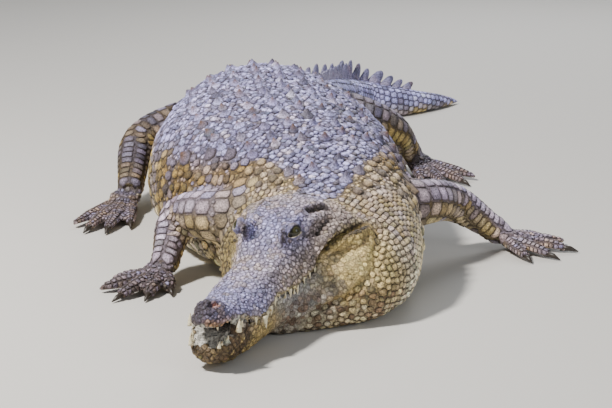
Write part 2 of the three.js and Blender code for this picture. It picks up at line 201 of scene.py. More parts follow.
def body_line():
    """The body's line, sampled closely: its points, widths, heights, length so far and way back."""
    count = len(BODY_LINE)
    padded = np.vstack([2 * BODY_LINE[0] - BODY_LINE[1], BODY_LINE, 2 * BODY_LINE[-1] - BODY_LINE[-2]])
    rows = []
    for i in range(count - 1):
        a, b, c, d = padded[i:i + 4]
        for t in np.linspace(0, 1, SPAN_STEPS, endpoint=False):
            square, cube = 2 * a - 5 * b + 4 * c - d, 3 * b - a - 3 * c + d
            rows.append(0.5 * (2 * b + (c - a) * t + square * t**2 + cube * t**3))
    rows.append(BODY_LINE[-1])
    rows = np.array(rows)
    steps = np.linalg.norm(np.diff(rows[:, :2], axis=0), axis=1)
    length = np.concatenate([[0], np.cumsum(steps)])
    way = np.gradient(rows[:, :2], axis=0)
    way /= np.linalg.norm(way, axis=1, keepdims=True)
    return rows, length, way


LINE, LINE_LENGTH, LINE_WAY = body_line()
# The power of each section's outline: 1 is an ellipse, less is boxier.
BOXY = [
    0.95, 0.95, 0.94, 0.92, 0.92, 0.92, 0.94, 0.98, 1, 1, 0.92, 0.86, 0.82, 0.8, 0.8, 0.82, 0.86, 0.9,
    0.95,
]
TAIL_BOXY = np.interp(np.linspace(0, 18, len(LINE)), range(19), BOXY)
WIDEST = 0.38  # share of the back's height where a section is widest


def dorsal_half(s):
    """Half of the breadth of the wrinkled blue-grey back, along the body."""
    return np.interp(s, *DORSAL)


def on_line(s):
    """Middle, half width, back's height and way back at each distance along the body."""
    row = [np.interp(s, LINE_LENGTH, LINE[:, k]) for k in range(4)]
    way = np.stack([np.interp(s, LINE_LENGTH, LINE_WAY[:, k]) for k in range(2)], axis=-1)
    way /= np.linalg.norm(way, axis=-1, keepdims=True)
    return np.stack(row[:2], axis=-1), row[2], row[3], way


def body_place(points):
    """Distance along the body, sideways share of its half width, and share of its height, at each point."""
    tree = KDTree(len(LINE))
    for i, row in enumerate(LINE):
        tree.insert((row[0], row[1], 0), i)
    tree.balance()
    index = np.array([tree.find((p[0], p[1], 0))[1] for p in points])
    offset = points[:, :2] - LINE[index, :2]
    way = LINE_WAY[index]
    s = LINE_LENGTH[index] + (offset * way).sum(1)
    side = offset[:, 0] * way[:, 1] - offset[:, 1] * way[:, 0]
    return s, side / LINE[index, 2], points[:, 2] / LINE[index, 3]


def head_place(points):
    """Distance behind the snout's tip, distance to the head's left, and height, at each point."""
    offset = points - np.array([SNOUT[0], SNOUT[1], 0.0])
    return offset @ HEAD_BACK, offset @ HEAD_LEFT, points[:, 2]


def in_head(along, side, height):
    return np.array([SNOUT[0], SNOUT[1], height]) + HEAD_BACK * along + HEAD_LEFT * side


def jaw_rim(along):
    return along_profile(LIP, along) - GAPE * np.clip(1 - along / GAPE_END, 0, 1) ** GAPE_CURVE


def groove(distance, width):
    return np.exp(-((distance / width) ** 2))


def segment_distance(u, v, line):
    """Distance of the points (u, v) from a line of (u, v) points."""
    best = np.full(len(u), 9.0)
    for (u0, v0), (u1, v1) in zip(line, line[1:]):
        du, dv = u1 - u0, v1 - v0
        t = np.clip(((u - u0) * du + (v - v0) * dv) / (du * du + dv * dv), 0, 1)
        best = np.minimum(best, np.hypot(u - u0 - t * du, v - v0 - t * dv))
    return best


# Folds of the cheek, as (distance behind the snout, height) lines.
MOUTH_CORNER_FOLD = [(.434, .152), (.446, .162), (.458, .184), (.490, .213), (.556, .231), (.622, .239)]
LOBE_FOLD = [(.462, .180), (.500, .186), (.540, .194), (.592, .216)]
LOBE = [(.484, .196), (.530, .209), (.575, .221), (.608, .228)]
UPPER_ROLL = [(.470, .222), (.515, .242), (.570, .252), (.605, .256)]
JAW_CREASE = [
    (.644, .232), (.604, .206), (.570, .186), (.538, .154), (.507, .121), (.474, .092), (.428, .067),
    (.386, .040), (.350, .022),
]
# Lines on the head's top, as (distance behind the snout, distance from the middle).
EYE_CREASE = [(.414, .080), (.447, .090), (.481, .103), (.530, .112)]
EAR_FLAP = [(.440, .056), (.500, .054), (.531, .060), (.572, .080)]
EAR_NOTCH = [(.500, .064), (.530, .073), (.560, .090)]
BEFORE_EYE = [(.372, .052), (.300, .046), (.225, .050)]
EYE_CORNER = [(.338, .036), (.372, .052)]
NOSTRIL = [(.036, .010), (.046, .019), (.058, .021)]


def in_mouth(along, across, z):
    """True on the lining of the open mouth."""
    floor = jaw_rim(along) - np.interp(along, [0.030, 0.055], [0.010, 0.036])
    lining = (z < along_profile(LIP, along) + 0.010) & (z > floor) & (along < GAPE_END)
    return lining & (np.abs(across) < along_profile(JAW_HALF, along) - 0.007)


def jaw_crease(z):
    """How far behind the snout's tip the crease of the jaw lies at each height."""
    return np.interp(z, *reversed(np.array(sorted(JAW_CREASE)).T))


def fold_lines(along, across, z):
    """Shares of the painted shade in the folds and creases of the face, and of the yellow skin along the
    jaw's crease.
    """
    outside = np.abs(across) > 0.085
    dark = groove(segment_distance(along, z, MOUTH_CORNER_FOLD), 0.0042) * outside
    dark = np.maximum(dark, 0.55 * groove(segment_distance(along, z, LOBE_FOLD), 0.0032) * outside)
    # Painted shade in the creases behind and before the eye and in the notch under the ear flap.
    level = np.abs(across)
    for line, width, share in (
        (EYE_CREASE, 0.0044, 1.0), (EYE_CORNER, 0.0070, 0.9), (EAR_NOTCH, 0.0080, 0.9),
    ):
        dark = np.maximum(dark, share * groove(segment_distance(along, level, line), width) * (z > 0.235))
    crease = jaw_crease(z)
    pale = smooth_step(0.034, 0.004, crease - along) * (along < crease + 0.004) * outside
    pale = pale * (z > 0.07) * (z < 0.235)
    return dark, pale


# ---- Places on the limbs, and places on each piece's map -----------------------------------

HEAD_AXIS = 0.11  # height of the line that the head is unrolled round
BODY_AXIS = 0.4  # the same for the body, as a share of the back's height
MAP_MARGIN, MAP_SPAN = 0.01, 0.98
PATCH_RADIUS = 0.0015  # of one scale's patch on the map


def limb_lines(limb):
    """A limb's lines, bone by bone and then toe by toe: start, end, and the shares of the limb at both."""
    joints, tips, toe = limb
    joints = np.array(joints)
    lines = [(joints[i], joints[i + 1], i / 4, (i + 1) / 4) for i in range(3)]
    heel = np.array([joints[3][0], joints[3][1], 0.024, 0.036])
    return lines + [(heel, np.array([t[0], t[1], toe * 0.8, toe]), 0.75, 1.0) for t in tips]


def off_line(points, start, end):
    """For each point: its share of the way down a tapering line, its offset from it, and that in radii."""
    step = end[:3] - start[:3]
    t = np.clip(((points - start[:3]) @ step) / (step @ step), 0, 1)
    away = points - start[:3] - t[:, None] * step
    return t, away, np.linalg.norm(away, axis=1) / (start[3] + (end[3] - start[3]) * t)


def limb_place(points):
    """For each point: how far down the nearest limb it is (0 to 1), and how many radii off its line."""
    best = np.full(len(points), 9.0)
    share = np.zeros(len(points))
    for limb in LIMBS.values():
        for start, end, low, high in limb_lines(limb):
            t, _, reach = off_line(points, start, end)
            nearer = reach < best
            best = np.where(nearer, reach, best)
            share = np.where(nearer, low + (high - low) * t, share)
    return share, best


def limb_unrolled(points, limb):
    """Places on a limb's skin unrolled: down the limb, and round its nearest bone or toe."""
    lines = limb_lines(limb)
    toes = len(lines) - 3
    best = np.full(len(points), 9.0)
    down, turn = np.zeros(len(points)), np.zeros(len(points))
    for number, (start, end, low, high) in enumerate(lines):
        t, away, reach = off_line(points, start, end)
        step = end[:3] - start[:3]
        left = np.cross(step, UP)
        left /= np.linalg.norm(left)
        over = np.cross(left, step / np.linalg.norm(step))
        angle = 0.5 + np.arctan2(away @ left, away @ over) / (2 * math.pi)
        nearer = reach < best
        best = np.where(nearer, reach, best)
        down = np.where(nearer, low + (high - low) * t, down)
        turn = np.where(nearer, angle if number < 3 else (number - 3 + angle) / toes, turn)
    return down, turn


def unrolled(name, points):
    """Places on the skin of one piece of scales, unrolled into a square: along the piece, and round it."""
    if name[:-7] in LIMBS:
        down, turn = limb_unrolled(points, LIMBS[name[:-7]])
    elif name in ("head_scales", "throat_scales"):
        down, across, z = head_place(points)
        turn = 0.5 + np.arctan2(across, z - HEAD_AXIS) / (2 * math.pi)
    else:
        down, side, _ = body_place(points)
        half, top = (np.interp(down, LINE_LENGTH, LINE[:, k]) for k in (2, 3))
        turn = 0.5 + np.arctan2(side * half, points[:, 2] - BODY_AXIS * top) / (2 * math.pi)
    down = (down - down.min()) / np.ptp(down)
    return MAP_MARGIN + MAP_SPAN * down, MAP_MARGIN + MAP_SPAN * turn


# ---- Markings and painted shade, the same on the skin and on the scales --------------------

KEEL_START, KEEL_PITCH = 0.64, 0.064  # the first row of the back's keels, and from row to row
# Fixed colours of the head and the feet, and of the painted shade in the face's folds, in linear light.
CHEEK, BLOTCHES, SPECKS = (0.30, 0.29, 0.30), (0.13, 0.085, 0.055), (0.10, 0.075, 0.075)
DRIED_MUD, TOOTH_STAIN, SCAR = (0.085, 0.055, 0.034), (0.40, 0.20, 0.06), (0.60, 0.30, 0.24)
# The second colour here is painted shade: the near-black drawn into the folds and creases of the face.
YELLOW_CREASE, PAINTED_FOLD_SHADE = (0.50, 0.37, 0.11), (0.028, 0.019, 0.014)
FOOT_BROWN = (0.29, 0.19, 0.135)
SCAR_ALONG, SCAR_SIDE = 0.050, 0.020


def back_waves(points, s, height):
    """Low ridges across the back, one under each row of keels: 1 on a ridge, -1 in a hollow."""
    wave = np.cos(2 * math.pi * (s - KEEL_START) / KEEL_PITCH + 0.9 * wobble(points, 0.14, 31))
    wave = 0.75 * wave + 0.45 * wobble(points, 0.05, 32)
    length = smooth_step(0.50, 0.60, s) * smooth_step(HIPS + 0.15, HIPS - 0.05, s)
    return wave * smooth_step(0.62, 0.82, height) * length


def markings(points, normals):
    """The hide's colour at each point, with painted shade in the face's folds, in the back's hollows and on
    the neck behind the head, and painted light on the back's ridges.
    """
    c = bpy.context.scene.crocodile_colours
    back, olive, cream, slate = (np.array(v) for v in (c.back, c.olive, c.cream, c.slate))
    rust, nose, mouth = (np.array(v) for v in (c.rust, c.nose, c.mouth))
    s, side, height = body_place(points)
    up = normals[:, 2]
    rough = wobble(points, 0.16, 3)
    fine = wobble(points, 0.05, 4)

    # The trunk: blue-grey above, olive and slate blotches on the flanks, cream underneath.
    greyed = mix(olive * 1.3, back * 1.1, 0.26 + 0.20 * fine)
    side_colour = mix(greyed, olive * np.array((0.66, 0.57, 0.46)), smooth_step(0.46, 0.62, s))
    side_colour = mix(side_colour, olive * 0.85, smooth_step(0.9, 1.15, s))
    paling = np.interp(s, [0.45, 0.62], [0.90, 0.36])
    low = mix(side_colour, cream, smooth_step(0, 1, (paling - height - 0.08 * rough) / (0.8 * paling)) * 0.80)
    blotch = smooth_step(0.05, 0.45, wobble(points * np.array([1, 1, 0.35]), 0.085, 5))
    low = mix(low, slate, blotch * 0.62 * smooth_step(0.10, 0.30, height) * smooth_step(0.62, 0.95, s))
    reach = dorsal_half(s)
    lateral = np.abs(side) * np.interp(s, LINE_LENGTH, LINE[:, 2])
    shoulders = smooth_step(1.14, 0.94, lateral / reach + 0.07 * rough) * smooth_step(0.3, 0.6, height)
    edge = np.interp(s, [0.7, 0.92, 1.15], [0.66, 0.60, 0.50])
    flat = smooth_step(0, 1, (height + 0.06 * rough - edge) / 0.17)
    upper = mix(shoulders[:, None], flat[:, None], smooth_step(0.62, 0.85, s))[..., 0]
    # Painted shade in the hollows between the back's low ridges and painted light on their crests, over a
    # random tone.
    blue = back * (1 + 0.20 * wobble(points, 0.035, 15) + 0.32 * back_waves(points, s, height))[:, None]
    colour = mix(low, blue, upper)
    colour = mix(colour, olive * 1.05, 0.35 * smooth_step(0.15, 0.6, fine) * upper * smooth_step(1.5, 0.7, s))

    # The tail: blue-grey above, olive below, with slate bands.
    tail = smooth_step(HIPS, HIPS + 0.25, s)
    band = smooth_step(-0.1, 0.45, np.sin(s * 2 * math.pi / 0.20 + 1.3 * rough))
    tail_low = olive * 1.2 + 0.05
    tail_colour = mix(mix(back * 1.50, tail_low, smooth_step(0.55, 0.20, height)), slate * 2.3, band * 0.58)
    tail_colour = tail_colour * (1.0, 1.03, 1.12)
    colour = mix(colour, tail_colour, tail)

    # The limbs: blue-grey and olive plates with slate bands, paler underneath, and brown feet.
    share, reach = limb_place(points)
    limb = smooth_step(1.75, 1.25, reach) * smooth_step(0.16, 0.30, share)
    limb_band = smooth_step(0.2, 0.6, np.sin(share * 2 * math.pi * 5.5 + 1.1 * rough))
    limb_band = limb_band * np.where(s > 1.05, 0.75, 0.42)
    hind_top = mix(back * 0.10 + olive * 0.40, back * 0.34 + olive * 0.20, smooth_step(-0.2, 0.2, side))
    limb_top = np.where((s > 1.05)[:, None], hind_top, back * 0.90 + olive * 0.62)
    limb_colour = mix(mix(olive * 1.15, limb_top, smooth_step(-0.15, 0.5, up + 0.3 * fine)), slate, limb_band)
    limb_colour = mix(limb_colour, cream * 0.9, smooth_step(0.1, -0.5, up) * 0.55)
    hind = ((s > 1.05) & (up < 0.5))[:, None]
    limb_colour = limb_colour * np.where(hind, (0.86, 0.80, 0.58), (1.02, 0.98, 1.02))
    foot = smooth_step(0.76, 0.86, share)
    limb_colour = mix(limb_colour, mix(slate * 2.2, FOOT_BROWN, 0.60 + 0.40 * fine), foot * 0.74)
    colour = mix(colour, limb_colour, limb)

    # The head.
    along, across, z = head_place(points)
    lip = along_profile(LIP, along)
    in_front = smooth_step(HEAD_LENGTH + 0.05, HEAD_LENGTH - 0.06, along + 0.02 * rough)
    in_front = in_front * (np.abs(across) < 0.30) * (limb < 0.5)
    above = z - lip
    top = mix(back * 1.05, olive * 1.1, 0.34 * smooth_step(0.2, 0.7, fine))
    jowl = smooth_step(0.12, 0.03, above) * smooth_step(0.16, 0.38, along)
    top = mix(top, olive * 1.4 + 0.03, 0.55 * jowl)
    face = mix(olive * 0.95, top, smooth_step(-0.006, 0.024, above + 0.010 * fine))
    face = mix(face, cream * 0.80, 0.60 * smooth_step(0.012, 0.003, np.abs(above - 0.004)))
    cheek = mix(CHEEK, olive * 1.15 + 0.02, smooth_step(0.36, 0.52, along + 0.03 * fine))
    level = z + 0.01 * fine
    cheek = mix(cheek, olive * 1.1, smooth_step(0.115, 0.06, level) * smooth_step(0.40, 0.25, along) * 0.75)
    cheek = mix(cheek, cream * 0.9, smooth_step(0.08, 0.03, level) * smooth_step(0.30, 0.40, along) * 0.5)
    mottle = smooth_step(-0.15, 0.35, wobble(points, 0.022, 9)) * smooth_step(0.125, 0.07, z)
    mottle = mottle * smooth_step(0.28, 0.36, along)
    cheek = mix(cheek, rust * 0.7, 0.80 * mottle)
    mud = smooth_step(0.085, 0.060, np.abs(along - 0.085)) * smooth_step(0.012, 0.030, z)
    mud = mud * smooth_step(0.006, -0.004, z - jaw_rim(along) - 0.004 * fine)
    cheek = mix(cheek, DRIED_MUD, 0.92 * mud * smooth_step(-0.9, -0.2, wobble(points, 0.03, 11)))
    face = np.where((above < 0)[:, None], cheek, face)
    brown = smooth_step(0.15, 0.6, wobble(points, 0.045, 14)) * smooth_step(0.15, 0.35, along)
    face = mix(face, BLOTCHES, 0.30 * brown * (1 - 0.6 * jowl) * (above > 0))
    speck = smooth_step(0.10, 0.55, wobble(points, 0.018, 16)) * smooth_step(0.05, 0.12, along)
    face = mix(face, SPECKS, 0.36 * speck * (above > 0))
    tip = smooth_step(0.100, 0.040, along + 0.012 * fine) * smooth_step(0.0, 0.014, above)
    tip = tip * (0.66 + 0.30 * smooth_step(0.045, -0.005, across))
    face = mix(face, mix(nose, rust, 0.45 * smooth_step(0.0, 0.6, fine)), tip)
    stain = smooth_step(0.085, 0.05, along) * smooth_step(0.005, 0.025, across)
    stain = stain * smooth_step(0.030, 0.008, np.abs(above))
    face = mix(face, TOOTH_STAIN, stain * 0.75)
    scar = np.hypot(along - SCAR_ALONG, across - SCAR_SIDE) + 0.1 * (z < 0.135)
    face = mix(face, SCAR, 0.9 * smooth_step(0.0105, 0.0080, scar))
    # Painted shade along the folds and creases of the face, and the yellow skin of the jaw's crease.
    dark, pale = fold_lines(along, across, z)
    face = mix(face, YELLOW_CREASE, 0.55 * pale)
    face = mix(face, PAINTED_FOLD_SHADE, 0.85 * dark)
    face = np.where(in_mouth(along, across, z)[:, None], mouth * (0.9 + 0.1 * fine[:, None]), face)
    colour = mix(colour, face, in_front)
    jowls = smooth_step(0.30, 0.38, along) * smooth_step(0.56, 0.46, along) * smooth_step(0.0, -0.02, above)
    colour = colour * (1 + (0.38 * jowls * smooth_step(0.14, 0.18, z))[:, None])
    pouch = smooth_step(0.46, 0.53, along) * smooth_step(0.80, 0.68, along) * smooth_step(0.24, 0.16, z)
    colour = colour * (1 + (pouch * (across > -0.14))[:, None] * (0.26, 0.32, 0.62))
    warm = smooth_step(0.34, 0.26, along) * smooth_step(0.0, -0.01, above) * (along < 0.5) * (in_front > 0.5)
    colour = colour * mix(np.ones(3), np.array((1.02, 0.96, 0.74)), warm * ~in_mouth(along, across, z))
    # Painted shade on the right side of the neck just behind the head, darkening it by up to half.
    painted_neck_shade = smooth_step(-0.10, -0.15, across) * smooth_step(0.36, 0.44, along)
    painted_neck_shade = painted_neck_shade * smooth_step(0.76, 0.62, along)
    colour = colour * (1 - 0.50 * painted_neck_shade * (z < 0.27))[:, None]
    return np.clip(colour * (1 + 0.15 * fine + 0.08 * rough)[:, None], 0.004, 0.9)


# ---- Materials -----------------------------------------------------------------------------


def new_material(name, colour, roughness):
    material = bpy.data.materials.new(name)
    material.use_nodes = True
    shader = material.node_tree.nodes["Principled BSDF"]
    shader.inputs["Base Color"].default_value = (*colour, 1.0)
    shader.inputs["Roughness"].default_value = roughness
    return material, material.node_tree, shader


def add_noise(tree, vector, scale, detail=4.0, kind="ShaderNodeTexNoise"):
    node = tree.nodes.new(kind)
    node.inputs["Scale"].default_value = scale
    if kind == "ShaderNodeTexNoise":
        node.inputs["Detail"].default_value = detail
    tree.links.new(vector, node.inputs["Vector"])
    return node


def add_math(tree, operation, a, b):
    node = tree.nodes.new("ShaderNodeMath")
    node.operation = operation
    for socket, value in zip(node.inputs, (a, b)):
        if isinstance(value, (int, float)):
            socket.default_value = value
        else:
            tree.links.new(value, socket)
    return node.outputs[0]


def hide_material(name, roughness, grain, relief, cells):
    """Hide painted by the mesh's own colours, with fine mottling, pits and wrinkles."""
    material, tree, shader = new_material(name, (0.3, 0.3, 0.3), roughness)
    painted = tree.nodes.new("ShaderNodeAttribute")
    painted.attribute_name = "Hide"
    place = tree.nodes.new("ShaderNodeTexCoord").outputs["Object"]
    mottle = add_noise(tree, place, grain, 5.0)
    tone = tree.nodes.new("ShaderNodeMapRange")
    tone.inputs["From Min"].default_value = 0.30
    tone.inputs["From Max"].default_value = 0.70
    tone.inputs["To Min"].default_value = 0.30
    tone.inputs["To Max"].default_value = 1.75
    tree.links.new(mottle.outputs["Fac"], tone.inputs["Value"])
    paint = tree.nodes.new("ShaderNodeMix")
    paint.data_type = "RGBA"
    paint.blend_type = "MULTIPLY"
    paint.inputs["Factor"].default_value = 1.0
    tree.links.new(painted.outputs["Color"], paint.inputs["A"])
    tree.links.new(tone.outputs["Result"], paint.inputs["B"])
    tree.links.new(paint.outputs["Result"], shader.inputs["Base Color"])
    wrinkle = add_noise(tree, place, cells, 6.0)
    cell = add_noise(tree, place, cells * 0.9, kind="ShaderNodeTexVoronoi")
    pits = add_math(tree, "MULTIPLY", cell.outputs["Distance"], 0.6)
    height = add_math(tree, "ADD", wrinkle.outputs["Fac"], pits)
    bump = tree.nodes.new("ShaderNodeBump")
    bump.inputs["Strength"].default_value = 0.9
    bump.inputs["Distance"].default_value = relief
    tree.links.new(height, bump.inputs["Height"])
    tree.links.new(bump.outputs["Normal"], shader.inputs["Normal"])
    return material


def shared_material(name, build):
    return bpy.data.materials.get(name) or build()


def skin_material():
    return shared_material("Skin", lambda: hide_material("Skin", 0.72, 170.0, 0.0022, 300.0))


def scale_material():
    return shared_material("Scales", lambda: hide_material("Scales", 0.56, 230.0, 0.0019, 430.0))


# ---- Meshes --------------------------------------------------------------------------------


def add_object(name, mesh, material):
    obj = bpy.data.objects.new(name, mesh)
    bpy.context.scene.collection.objects.link(obj)
    mesh.materials.clear()
    mesh.materials.append(material)
    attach(obj, "root")
    return obj


def smooth(mesh):
    mesh.polygons.foreach_set("use_smooth", np.ones(len(mesh.polygons), bool))
    mesh.update()


def vertex_array(mesh, field="co"):
    values = np.zeros(len(mesh.vertices) * 3)
    if field == "co":
        mesh.vertices.foreach_get("co", values)
    else:
        mesh.vertex_normals.foreach_get("vector", values)
    return values.reshape(-1, 3)


def paint(mesh, colours):
    attribute = mesh.color_attributes.new("Hide", "FLOAT_COLOR", "POINT")
    attribute.data.foreach_set("color", np.hstack([colours, np.ones((len(colours), 1))]).ravel())


def body_tree(mesh):
    bm = bmesh.new()
    bm.from_mesh(mesh)
    tree = BVHTree.FromBMesh(bm)
    bm.free()
    return tree


MODEL = {}  # what the skin's operator leaves for the scales': the skin's search tree


def joined_flesh():
    """One mesh of all the flesh nodes, with their thin cuts still in it."""
    bm = bmesh.new()
    for name in FLESH:
        bm.from_mesh(NODES[name].data)
    bmesh.ops.remove_doubles(bm, verts=bm.verts, dist=1e-5)
    mesh = bpy.data.meshes.new("skin")
    bm.to_mesh(mesh)
    bm.free()
    return mesh


def apply_modifiers(obj):
    graph = bpy.context.evaluated_depsgraph_get()
    mesh = bpy.data.meshes.new_from_object(obj.evaluated_get(graph))
    old = obj.data
    obj.modifiers.clear()
    obj.data = mesh
    bpy.data.meshes.remove(old)


def subdivide_where(mesh, chosen):
    """Halves the edges of the faces whose middles are chosen."""
    bm = bmesh.new()
    bm.from_mesh(mesh)
    middles = np.array([f.calc_center_median() for f in bm.faces])
    picked = chosen(middles)
    edges = {e for f, keep in zip(bm.faces, picked) if keep for e in f.edges}
    bmesh.ops.subdivide_edges(bm, edges=list(edges), cuts=1, use_grid_fill=True, smooth=0.0)
    bmesh.ops.triangulate(bm, faces=[f for f in bm.faces if len(f.verts) > 4])
    bm.to_mesh(mesh)
    bm.free()


def near_head(points):
    along, across, z = head_place(points)
    return (along < HEAD_LENGTH + 0.05) & (np.abs(across) < 0.29) & (z > 0.004)


def near_face(points):
    """The eyes, the nostrils and the lips, which get the finest facets."""
    along, across, z = head_place(points)
    lip = along_profile(LIP, along)
    eye = np.hypot(np.hypot(along - EYE_ALONG, np.abs(across) - EYE_SIDE), z - EYE_HEIGHT) < 0.046
    nose = (along < 0.085) & (z > lip + 0.02)
    mouth = (np.abs(z - lip) < 0.013) & (along > 0.20) & (along < 0.56) & (np.abs(across) > 0.04)
    folds = (along > 0.42) & (along < 0.65) & (z > lip - 0.012) & (z > 0.16) & (np.abs(across) > 0.045)
    return (eye | nose | mouth | folds) & (np.abs(across) < 0.25)


def head_relief(points, normals):
    """How far each point of the skin moves out along its normal to shape the face's folds."""
    along, across, z = head_place(points)
    lip = along_profile(LIP, along)
    half = along_profile(SKULL_HALF, along)
    outer = smooth_step(0.55, 0.8, np.abs(across) / half)
    on_head = (along < HEAD_LENGTH + 0.08) & (np.abs(across) < 0.30)
    sideways = smooth_step(0.15, 0.45, np.abs(normals @ HEAD_LEFT))
    move = np.zeros(len(points))
    closed = smooth_step(0.20, 0.25, along) * smooth_step(0.53, 0.49, along)
    move -= 0.0075 * groove(z - lip, 0.0035) * closed * outer
    move += 0.0040 * groove(z - lip - 0.012, 0.008) * closed * outer
    move -= 0.0125 * groove(segment_distance(along, z, MOUTH_CORNER_FOLD), 0.0045) * sideways
    move -= 0.0060 * groove(segment_distance(along, z, LOBE_FOLD), 0.0045) * sideways
    move += 0.0115 * groove(segment_distance(along, z, LOBE), 0.0085) * sideways
    move += 0.0090 * groove(segment_distance(along, z, UPPER_ROLL), 0.013) * sideways
    move -= 0.0120 * groove(segment_distance(along, z, JAW_CREASE), 0.009) * sideways
    # The crease behind the eye, the ear flap over it, and the ridges before the eyes.
    upper = z > 0.235
    level = np.abs(across)
    move -= 0.0110 * groove(segment_distance(along, level, EYE_CREASE), 0.0048) * upper
    move += 0.0095 * groove(segment_distance(along, level, EAR_FLAP), 0.010) * upper
    move -= 0.0090 * groove(segment_distance(along, level, EAR_NOTCH), 0.006) * upper
    facing_up = smooth_step(0.2, 0.7, normals[:, 2])
    move += 0.0050 * groove(segment_distance(along, level, BEFORE_EYE), 0.011) * facing_up
    # The scalloped upper lip over the teeth.
    scallop = 0.5 + 0.5 * np.cos(along * 2 * math.pi / 0.024)
    move += 0.0035 * scallop * groove(z - lip - 0.010, 0.010) * outer * (along < 0.50)
    # Nostrils: two crescent slits on the dark bulb of the nose.
    for side in (-1, 1):
        slit = segment_distance(along, across, [(a, side * b) for a, b in NOSTRIL])
        move -= 0.0090 * groove(slit, 0.0038) * (z > 0.13)
        move += 0.0035 * groove(slit - 0.009, 0.005) * (z > 0.13)
    # The crust of dried mud on the lower jaw.
    crust = smooth_step(0.060, 0.035, np.abs(along - 0.095)) * smooth_step(0.006, -0.002, z - jaw_rim(along))
    move += 0.0055 * crust * (0.6 + 0.8 * wobble(points, 0.016, 23)) * (np.abs(across) > 0.02)
    # Wrinkles and knobs all over the face.
    move += 0.0023 * wobble(points, 0.030, 21) + 0.0013 * wobble(points, 0.012, 22)
    return move * on_head


def lower_tail_ridge(mesh):
    """Brings the skin under the tail's crest back to the tail's own round back."""
    points = vertex_array(mesh)
    s, side, _ = body_place(points)
    top, boxy = (np.interp(s, LINE_LENGTH, values) for values in (LINE[:, 3], TAIL_BOXY))
    widest = WIDEST * top
    clear = np.clip(1 - np.abs(side) ** (2 / boxy), 0, 1)
    ceiling = widest + (top - widest) * clear ** (boxy / 2)
    tail = (s > 1.55) & (np.abs(side) < 0.985) & (points[:, 2] > widest)
    points[:, 2] = np.where(tail, np.minimum(points[:, 2], ceiling - 0.001), points[:, 2])
    mesh.vertices.foreach_set("co", points.ravel())
    mesh.update()


SETTLE_TURNS, SETTLE_TURNS_TOES = 10, 2


def near_feet(points):
    share, reach = limb_place(points)
    return (share > 0.70) & (reach < 2.2) & (points[:, 2] < 0.13)


def near_mouth(points):
    along, across, z = head_place(points)
    return (along < 0.30) & (np.abs(across) < 0.12) & (z < along_profile(LIP, along) + 0.03)


def settle_skin(mesh):
    """Smooths the skin's steps: fully on the body, lightly on the thin toes."""
    toes = near_feet(vertex_array(mesh))
    bm = bmesh.new()
    bm.from_mesh(mesh)
    everywhere = list(bm.verts)
    body = [vert for vert, is_toe in zip(everywhere, toes) if not is_toe]
    for turn in range(SETTLE_TURNS):
        chosen = everywhere if turn < SETTLE_TURNS_TOES else body
        bmesh.ops.smooth_vert(bm, verts=chosen, factor=0.5, use_axis_x=True, use_axis_y=True, use_axis_z=True)
    bm.to_mesh(mesh)
    bm.free()


def sharpen(mesh):
    """Draws the skin of the open mouth and of the toes back to the solids' own surface."""
    points = vertex_array(mesh)
    for names, region in (
        (("head", "lower_jaw"), near_mouth(points)),
        ([n for n in FLESH if n.endswith(("foot", "forearm", "shank"))], near_feet(points)),
    ):
        bm = bmesh.new()
        for name in names:
            bm.from_mesh(NODES[name].data)
        tree = BVHTree.FromBMesh(bm)
        bm.free()
        for i in np.nonzero(region)[0]:
            place, _, _, distance = tree.find_nearest(Vector(points[i]))
            if distance < 0.018:
                points[i] = 0.1 * points[i] + 0.9 * np.array(place)
    mesh.vertices.foreach_set("co", points.ravel())
    mesh.update()


class CROCODILE_OT_skin(bpy.types.Operator):
    """Covers all the flesh with one skin, and shapes the folds of the face"""

    bl_idname = "crocodile.skin"
    bl_label = "Skin"

    def execute(self, context):
        sizes = context.scene.crocodile_sizes
        mesh = joined_flesh()
        skin = add_object("skin", mesh, skin_material())
        remesh = skin.modifiers.new("Grain", "REMESH")
        remesh.mode = "VOXEL"
        remesh.voxel_size = sizes.voxel
        apply_modifiers(skin)
        mesh = skin.data
        settle_skin(mesh)
        lower_tail_ridge(mesh)
        subdivide_where(mesh, lambda middles: near_head(middles) | near_feet(middles))
        sharpen(mesh)
        for region in (near_face, near_face):
            subdivide_where(mesh, region)
        points, normals = vertex_array(mesh), vertex_array(mesh, "normal")
        along, _, _ = head_place(points)
        depth = np.where(along < HEAD_LENGTH, 0.0012, sizes.coat_depth)
        s, _, height = body_place(points)
        relief = head_relief(points, normals) + 0.0034 * back_waves(points, s, height)
        moved = points + normals * (relief - depth)[:, None]
        moved[:, 2] = np.maximum(moved[:, 2], 0.0004)
        mesh.vertices.foreach_set("co", moved.ravel())
        mesh.update()
        smooth(mesh)
        points, normals = vertex_array(mesh), vertex_array(mesh, "normal")
        colours = markings(points, normals)
        gap = np.array(context.scene.crocodile_colours.gap)
        bare = np.where(near_head(points), 0.30, 0.62)
        bare = bare * smooth_step(0.0, 0.03, points[:, 2]) * ~in_mouth(*head_place(points))
        paint(mesh, mix(colours, gap, bare))
        mesh.materials.clear()
        mesh.materials.append(skin_material())
        MODEL["tree"] = body_tree(mesh)
        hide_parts(*FLESH)
        return {"FINISHED"}


# ---- Scales --------------------------------------------------------------------------------


class Seeds:
    """The scales' roots: place, outward way, way the scale lies, and sizes, gathered ring by ring."""

    FIELDS = ("point", "normal", "lie", "size", "dome", "keel", "plate", "piece", "stretch")

    def __init__(self):
        self.rows = []

    def add(self, point, normal, lie, size, dome, keel, plate, piece, stretch=1.0):
        self.rows.append((point, normal, lie, size, dome, keel, plate, piece, stretch))

    def arrays(self):
        columns = list(zip(*self.rows))
        return {name: np.array(column, float) for name, column in zip(self.FIELDS, columns)}


